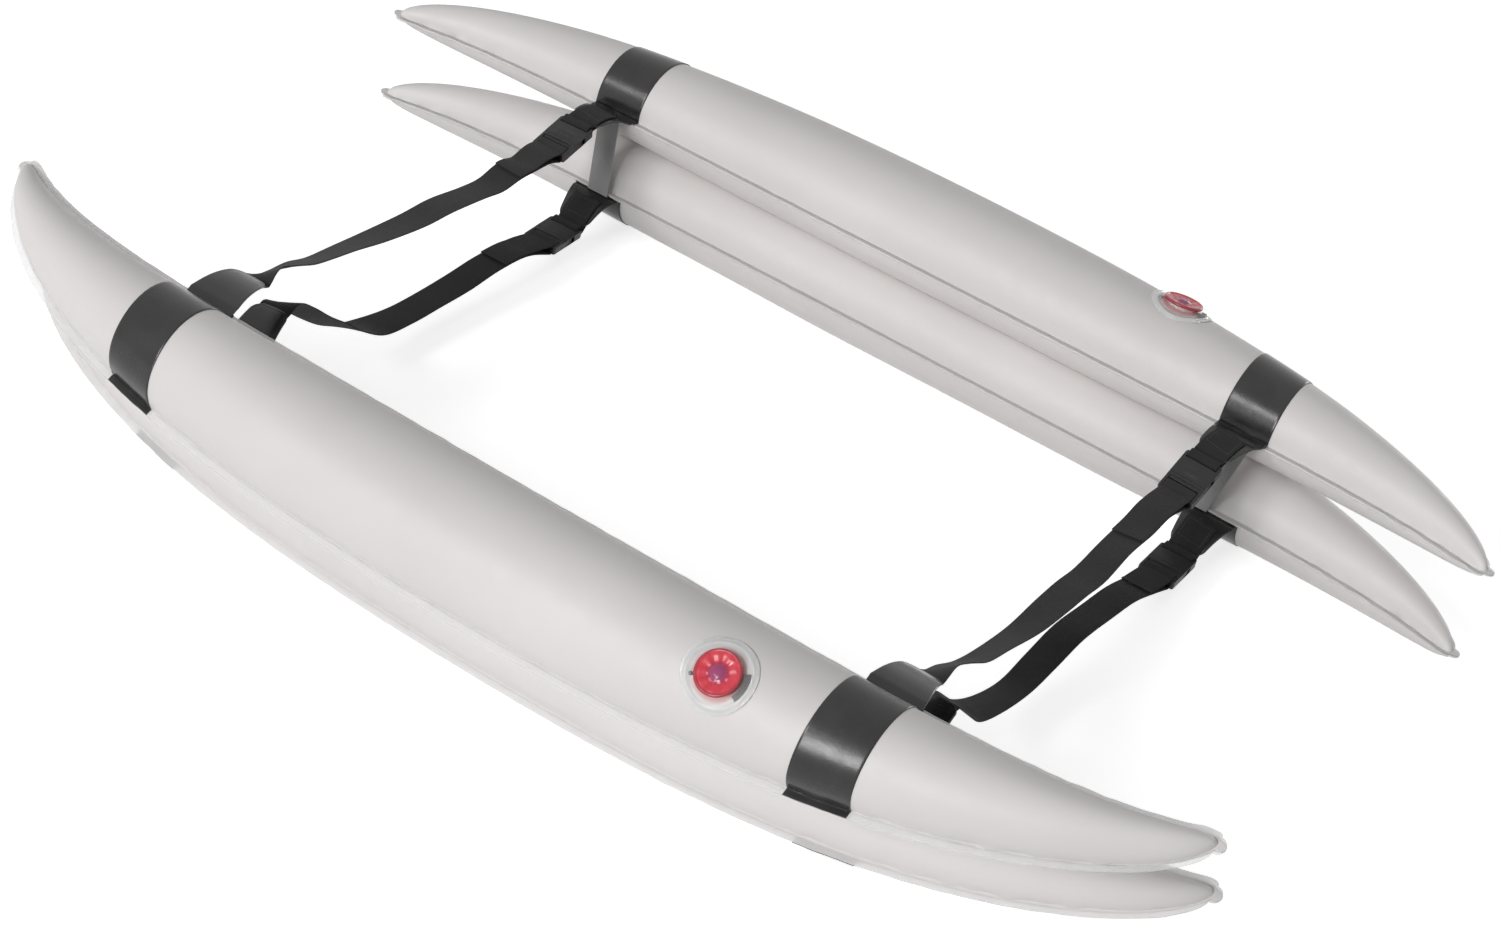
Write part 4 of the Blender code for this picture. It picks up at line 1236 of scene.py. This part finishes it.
def join_mesh(bm, other):
    """Add another bmesh's geometry to a bmesh."""
    temp = new_mesh("joined", other)
    bm.from_mesh(temp)
    bpy.data.meshes.remove(temp)


def valve_tether(side):
    """Ribbed tongue beside the cap and a small lug across from it, moulded with the clear base."""
    place = valve_matrix(side)
    back = place.inverted()
    out = place.to_3x3() @ Vector((0, 0, 1))
    face = VALVE_SEAT + VALVE_FLANGE

    def seated(reach, turn, height):
        flat = place @ Vector((reach * math.cos(turn), reach * math.sin(turn), 0))
        return back @ (drop_to_skin(side, flat, out) + out * (face + height))

    bm = bmesh.new()
    rows = []
    for step in range(TETHER_STEPS + 1):
        turn = math.radians(-TETHER_TURN + 2 * TETHER_TURN * step / TETHER_STEPS)
        reach = [CAP_RADIUS * (1.035 + 0.24 * part) for part, height in TETHER_PROFILE]
        heights = [TETHER_HEIGHT * height - GAP for part, height in TETHER_PROFILE]
        rows.append([seated(r, turn, height) for r, height in zip(reach, heights)])
    skin_rows(bm, rows)
    turns = [math.pi * ring / LUG_RINGS for ring in range(1, LUG_RINGS)]
    ball = [(LUG_RADIUS * math.sin(turn), -LUG_RADIUS * math.cos(turn)) for turn in turns]
    lug = revolve([(0, -LUG_RADIUS), *ball, (0, LUG_RADIUS)], LUG_STEPS)
    spot = seated(1.13 * CAP_RADIUS, math.radians(LUG_TURN), 0.4 * LUG_RADIUS)
    bmesh.ops.transform(lug, matrix=Matrix.Translation(spot), verts=lug.verts)
    join_mesh(bm, lug)
    return bm


def valve_flap():
    top, round_off = -BARREL_DEPTH - GAP, 0.0003
    profile = [(0, top), (FLAP_RADIUS - round_off, top), (FLAP_RADIUS, top - round_off)]
    profile += [(FLAP_RADIUS, top - FLAP + round_off), (FLAP_RADIUS - round_off, top - FLAP)]
    return revolve(profile + [(0, top - FLAP)])


def add_valve(side, clear, red, grey_look):
    place = PLACE[side] @ valve_matrix(side)
    for name, bm, look, body, slot in (
        ("valve_base", valve_base(side), clear, f"{side}_pontoon", "clear_vinyl"),
        ("valve_cap", valve_cap(), red, f"{side}_cap", "red_vinyl"),
        ("valve_flap", valve_flap(), clear, f"{side}_flap", "clear_vinyl"),
        ("valve_tether", valve_tether(side), grey_look, f"{side}_pontoon", "clear_vinyl"),
    ):
        bmesh.ops.transform(bm, matrix=place, verts=bm.verts)
        nodes = [] if name == "valve_tether" else [f"{side}_{name}"]
        piece = add_piece(f"{side}_{name}_soft", bm, look, body, nodes)
        spot = piece.data.attributes.new("spot", "FLOAT_VECTOR", "POINT")
        back = place.inverted()
        for index, vert in enumerate(piece.data.vertices):
            spot.data[index].vector = back @ vert.co


# Materials


class Nodes:
    """Short way to build a material's node tree."""

    def __init__(self, name):
        self.made = bpy.data.materials.new(name)
        self.made.use_nodes = True
        self.tree = self.made.node_tree
        self.shader = self.tree.nodes["Principled BSDF"]

    def add(self, kind, **values):
        node = self.tree.nodes.new(kind)
        for key, value in values.items():
            if key in node.inputs:
                self.put(node.inputs[key], value)
            else:
                setattr(node, key, value)
        return node

    def put(self, socket, value):
        if isinstance(value, bpy.types.NodeSocket):
            self.tree.links.new(value, socket)
        else:
            socket.default_value = value

    def math(self, operation, *values):
        node = self.tree.nodes.new("ShaderNodeMath")
        node.operation = operation
        for socket, value in zip(node.inputs, values):
            self.put(socket, value)
        return node.outputs[0]

    def times(self, *values):
        return self.math("MULTIPLY", *values)

    def plus(self, *values):
        return self.math("ADD", *values)

    def noise(self, scale, detail, roughness=0.5):
        node = self.add("ShaderNodeTexNoise", Scale=scale, Detail=detail, Roughness=roughness)
        self.put(node.inputs["Vector"], self.add("ShaderNodeTexCoord").outputs["Object"])
        return node.outputs["Fac"]

    def mottle(self, scale, detail, low, high):
        """Patches of noise that lie between two values."""
        return self.range(self.noise(scale, detail), 0.3, 0.7, low, high)

    def range(self, value, low, high, to_low, to_high):
        node = self.tree.nodes.new("ShaderNodeMapRange")
        for socket, item in zip(node.inputs, (value, low, high, to_low, to_high)):
            self.put(socket, item)
        return node.outputs[0]

    def mix(self, factor, one, two):
        node = self.tree.nodes.new("ShaderNodeMix")
        node.data_type = "RGBA"
        self.put(node.inputs[0], factor)
        self.put(node.inputs[6], one)
        self.put(node.inputs[7], two)
        return node.outputs[2]

    def attribute(self, name):
        node = self.tree.nodes.new("ShaderNodeAttribute")
        node.attribute_name = name
        return node.outputs["Fac"]

    def bump(self, height, strength, distance):
        node = self.tree.nodes.new("ShaderNodeBump")
        self.put(node.inputs["Height"], height)
        node.inputs["Strength"].default_value = strength
        node.inputs["Distance"].default_value = distance
        self.put(self.shader.inputs["Normal"], node.outputs["Normal"])

    def set(self, **values):
        for key, value in values.items():
            self.put(self.shader.inputs[key.replace("_", " ")], value)


def grey(level, warmth=0.0):
    return (level * (1 + warmth), level, level * (1 - 0.3 * warmth), 1.0)


def pale_vinyl():
    n = Nodes("pale_vinyl")
    clouds = n.noise(5.0, 3.0)
    grain = n.noise(900.0, 2.0)
    film = n.attribute("film")
    body = n.mix(n.range(clouds, 0.3, 0.7, 0.0, 1.0), grey(0.70, 0.036), grey(0.745, 0.034))
    edge = n.mix(n.noise(160.0, 2.0), grey(0.86, 0.006), grey(0.94, 0.004))
    n.set(Base_Color=n.mix(film, body, edge))
    satin = n.mottle(60.0, 3.0, 0.44, 0.54)
    n.set(Roughness=n.times(satin, n.range(film, 0.0, 1.0, 1.0, 0.6)))
    n.set(Alpha=n.range(film, 0.0, 1.0, 1.0, FILM_ALPHA))
    n.bump(n.plus(grain, n.times(n.noise(45.0, 3.0), 2.0)), 0.25, 0.00025)
    return n.made


def dark_vinyl():
    n = Nodes("dark_vinyl")
    clouds = n.noise(30.0, 4.0)
    scuffs = n.noise(260.0, 4.0, 0.7)
    base = n.mix(n.range(clouds, 0.35, 0.65, 0.0, 1.0), grey(0.015), grey(0.025))
    n.set(Base_Color=n.mix(n.range(scuffs, 0.62, 0.75, 0.0, 0.5), base, grey(0.055)))
    n.set(Roughness=n.mottle(70.0, 3.0, 0.22, 0.28))
    n.set(Specular_IOR_Level=0.45)
    n.bump(n.plus(n.noise(700.0, 2.0), n.times(clouds, 3.0)), 0.3, 0.0003)
    return n.made


def stitches(n, start, stop):
    """Box of thread dashes on a strip, between two distances from its start."""
    u, v = n.math("ABSOLUTE", n.attribute("strip_u")), n.attribute("strip_v")

    def close_to(value, place):
        away = n.math("ABSOLUTE", n.math("SUBTRACT", value, place))
        return n.range(away, 0.0002, 0.0006, 1.0, 0.0)

    def dashes(value):
        return n.math("LESS_THAN", n.math("FRACT", n.math("DIVIDE", value, STITCH_PITCH)), 0.72)

    inside = n.times(n.math("GREATER_THAN", v, start), n.math("LESS_THAN", v, stop))
    rows = n.times(n.times(close_to(u, STITCH_ROW), dashes(v)), inside)
    ends = n.times(n.math("MAXIMUM", close_to(v, start), close_to(v, stop)), dashes(u))
    return n.math("MAXIMUM", rows, n.times(ends, n.math("LESS_THAN", u, STITCH_ROW)))


def woven(name, dark, light, sewn=None):
    n = Nodes(name)
    u = n.math("DIVIDE", n.attribute("strip_u"), 0.0019)
    v = n.math("DIVIDE", n.attribute("strip_v"), 0.0013)
    ribs = n.math("ABSOLUTE", n.math("SINE", n.times(u, math.pi)))
    shifted = n.plus(v, n.times(n.math("FLOOR", u), 0.5))
    picks = n.math("ABSOLUTE", n.math("SINE", n.times(shifted, math.pi)))
    weave = n.times(n.math("POWER", ribs, 0.6), n.math("POWER", picks, 0.5))
    fuzz = n.noise(1500.0, 3.0)
    tone = n.plus(n.times(weave, 0.75), n.times(fuzz, 0.25))
    patches = n.mottle(35.0, 3.0, 0.85, 1.15)
    cloth = n.mix(n.times(tone, patches), grey(dark), grey(light))
    height = n.plus(weave, n.times(fuzz, 0.25))
    if sewn:
        thread = stitches(n, *sewn)
        cloth = n.mix(thread, cloth, grey(2.2 * light))
        height = n.plus(height, n.times(thread, 1.5))
    n.set(Base_Color=cloth)
    n.set(Roughness=n.range(weave, 0.0, 1.0, 0.85, 0.62))
    n.set(Specular_IOR_Level=0.2)
    n.set(Sheen_Weight=0.04)
    n.bump(height, 0.8, 0.0004)
    return n.made


def buckle_plastic():
    n = Nodes("buckle_plastic")
    n.set(Base_Color=n.mix(n.noise(120.0, 3.0), grey(0.012), grey(0.020)))
    n.set(Roughness=n.mottle(300.0, 3.0, 0.34, 0.5))
    n.set(Specular_IOR_Level=0.35)
    n.bump(n.noise(2200.0, 2.0), 0.35, 0.0001)
    return n.made


def valve_reach(n):
    """Distance from the valve's axis as a share of the cap's radius, and the turn about it."""
    spot = n.add("ShaderNodeAttribute", attribute_name="spot").outputs["Vector"]
    parts = n.add("ShaderNodeSeparateXYZ", Vector=spot)
    squares = [n.math("POWER", parts.outputs[axis], 2.0) for axis in (0, 1)]
    reach = n.math("DIVIDE", n.math("SQRT", n.plus(*squares)), CAP_RADIUS)
    return reach, n.math("ARCTAN2", parts.outputs[1], parts.outputs[0])


def clear_vinyl():
    n = Nodes("clear_vinyl")
    reach = valve_reach(n)[0]
    rings = n.math("SINE", n.times(reach, 34.0))
    pale = n.mix(n.range(rings, -1.0, 1.0, 0.0, 1.0), grey(0.92), grey(0.98))
    # Painted glow: a pink ring on the clear base round the cap, standing for light that passes through the
    # red cap.
    painted_red_glow = n.times(n.range(reach, 0.80, 0.95, 0.0, 1.0), n.range(reach, 0.98, 1.18, 1.0, 0.0))
    n.set(Base_Color=n.mix(painted_red_glow, pale, (0.98, 0.62, 0.60, 1)))
    n.set(Roughness=n.mottle(150.0, 3.0, 0.10, 0.22))
    n.set(Transmission_Weight=0.45, IOR=1.30)
    n.bump(n.noise(220.0, 3.0), 0.3, 0.0003)
    return n.made


def tether_vinyl():
    n = Nodes("tether_vinyl")
    n.set(Base_Color=n.mix(n.noise(700.0, 3.0), grey(0.16), grey(0.34)))
    n.set(Roughness=n.mottle(150.0, 3.0, 0.25, 0.4))
    n.bump(n.noise(900.0, 3.0), 0.3, 0.0002)
    return n.made


def red_vinyl():
    n = Nodes("red_vinyl")
    reach, turn = valve_reach(n)
    # Painted light and shade on the flutes: one side of each flute lighter and the other darker, as light
    # would fall on them.
    flutes = n.math("SINE", n.times(turn, CAP_FLUTES))
    painted_flute_shade = n.times(n.range(flutes, -1.0, 1.0, 0.0, 1.0), n.noise(260.0, 2.0))
    body = n.mix(painted_flute_shade, (0.66, 0.030, 0.055, 1), (0.80, 0.080, 0.12, 1))
    rim = n.range(reach, 0.86, 0.95, 0.0, 0.8)
    # Painted shade in the dish round the raised hub: a darker ring where the recess lies in shadow.
    well = n.times(n.range(reach, 0.24, 0.34, 0.0, 0.7), n.range(reach, 0.40, 0.56, 1.0, 0.0))
    toned = n.mix(well, n.mix(rim, body, (0.30, 0.030, 0.045, 1)), (0.42, 0.012, 0.050, 1))
    hub = n.range(reach, 0.26, 0.46, 1.0, 0.0)
    n.set(Base_Color=n.mix(hub, toned, (0.36, 0.050, 0.16, 1)))
    n.set(Roughness=n.mottle(120.0, 3.0, 0.16, 0.3))
    n.set(Subsurface_Weight=0.15, Subsurface_Radius=(0.003, 0.0006, 0.0006))
    n.bump(n.noise(300.0, 2.0), 0.2, 0.0002)
    return n.made


# Stage, camera and lights


def seen_directly(tree):
    """1 for camera, glossy and transmission rays, 0 for the rays that carry light."""
    path = tree.nodes.new("ShaderNodeLightPath")
    total = path.outputs["Is Camera Ray"]
    for name in ("Is Glossy Ray", "Is Transmission Ray"):
        more = tree.nodes.new("ShaderNodeMath")
        more.operation = "MAXIMUM"
        tree.links.new(total, more.inputs[0])
        tree.links.new(path.outputs[name], more.inputs[1])
        total = more.outputs[0]
    return total


def add_stage():
    """Pale floor that shows white where it is lit and keeps the soft shadow."""
    bm = bmesh.new()
    bmesh.ops.create_grid(bm, x_segments=1, y_segments=1, size=FLOOR_HALF)
    mesh = new_mesh("floor", bm)
    floor = new_object("floor", mesh)
    n = Nodes("floor_paper")
    n.set(Base_Color=n.mix(n.noise(3.0, 2.0), grey(0.90), grey(0.92)), Roughness=0.9)
    n.set(Specular_IOR_Level=0.0)
    n.set(Emission_Color=(1, 1, 1, 1))
    n.set(Emission_Strength=n.times(seen_directly(n.tree), FLOOR_LIFT))
    mesh.materials.append(n.made)


def add_camera():
    data = bpy.data.cameras.new("camera")
    data.lens = LENS
    data.sensor_width = SENSOR
    camera = new_object("camera", data)
    forward, right = (Vector(aim).normalized() for aim in (CAMERA_FORWARD, CAMERA_RIGHT))
    turn = Matrix((right, right.cross(forward), -forward)).transposed().to_4x4()
    camera.matrix_world = Matrix.Translation(CAMERA_PLACE) @ turn
    bpy.context.scene.camera = camera


def add_lamp(name, place, size, power):
    data = bpy.data.lights.new(name, "AREA")
    data.shape = "RECTANGLE"
    data.size, data.size_y = size
    data.energy = power
    lamp = new_object(name, data)
    lamp.location = place
    aim = Vector(LAMP_TARGET) - Vector(place)
    lamp.rotation_euler = aim.to_track_quat("-Z", "Y").to_euler()


def add_world():
    world = bpy.data.worlds.new("studio")
    bpy.context.scene.world = world
    world.use_nodes = True
    tree = world.node_tree
    back = tree.nodes["Background"]
    back.inputs["Color"].default_value = (1, 1, 1, 1)
    level = tree.nodes.new("ShaderNodeMapRange")
    tree.links.new(seen_directly(tree), level.inputs[0])
    level.inputs[3].default_value = WORLD_LEVEL
    level.inputs[4].default_value = 1.0
    tree.links.new(level.outputs[0], back.inputs["Strength"])


def build():
    vinyl, dark = pale_vinyl(), dark_vinyl()
    mid = woven("grey_webbing", 0.26, 0.46)
    # Lit and shaded copies of one black webbing: the lower straps get a darker copy as painted shade, the
    # upper ones a lighter, lit copy.
    black = {
        "upper": woven("black_webbing_upper_lit", 0.014, 0.040),
        "lower": woven("black_webbing_lower_painted_shade", 0.006, 0.020),
    }
    sewn = woven("black_webbing_sewn", 0.010, 0.028, LOOP_STITCHES)
    plastic, clear, red = buckle_plastic(), clear_vinyl(), red_vinyl()
    for side in SIDE_SIGN:
        for level in LEVEL_SIGN:
            add_tube(side, level, vinyl)
        add_valve(side, clear, red, tether_vinyl())
        for end in END_SIGN:
            add_riser(side, end, mid)
            for level in LEVEL_SIGN:
                add_band(side, end, level, dark)
                add_tab(side, end, level, dark)
    for end in END_SIGN:
        for level in LEVEL_SIGN:
            add_buckle(end, level, plastic)
            add_anchor_loop(end, level, sewn)
            add_strap(end, level, black[level])
    add_stage()
    add_camera()
    for lamp in LAMPS:
        add_lamp(*lamp)
    add_world()


build()
bpy.context.scene.view_settings.view_transform = "Standard"
bpy.context.view_layer.update()
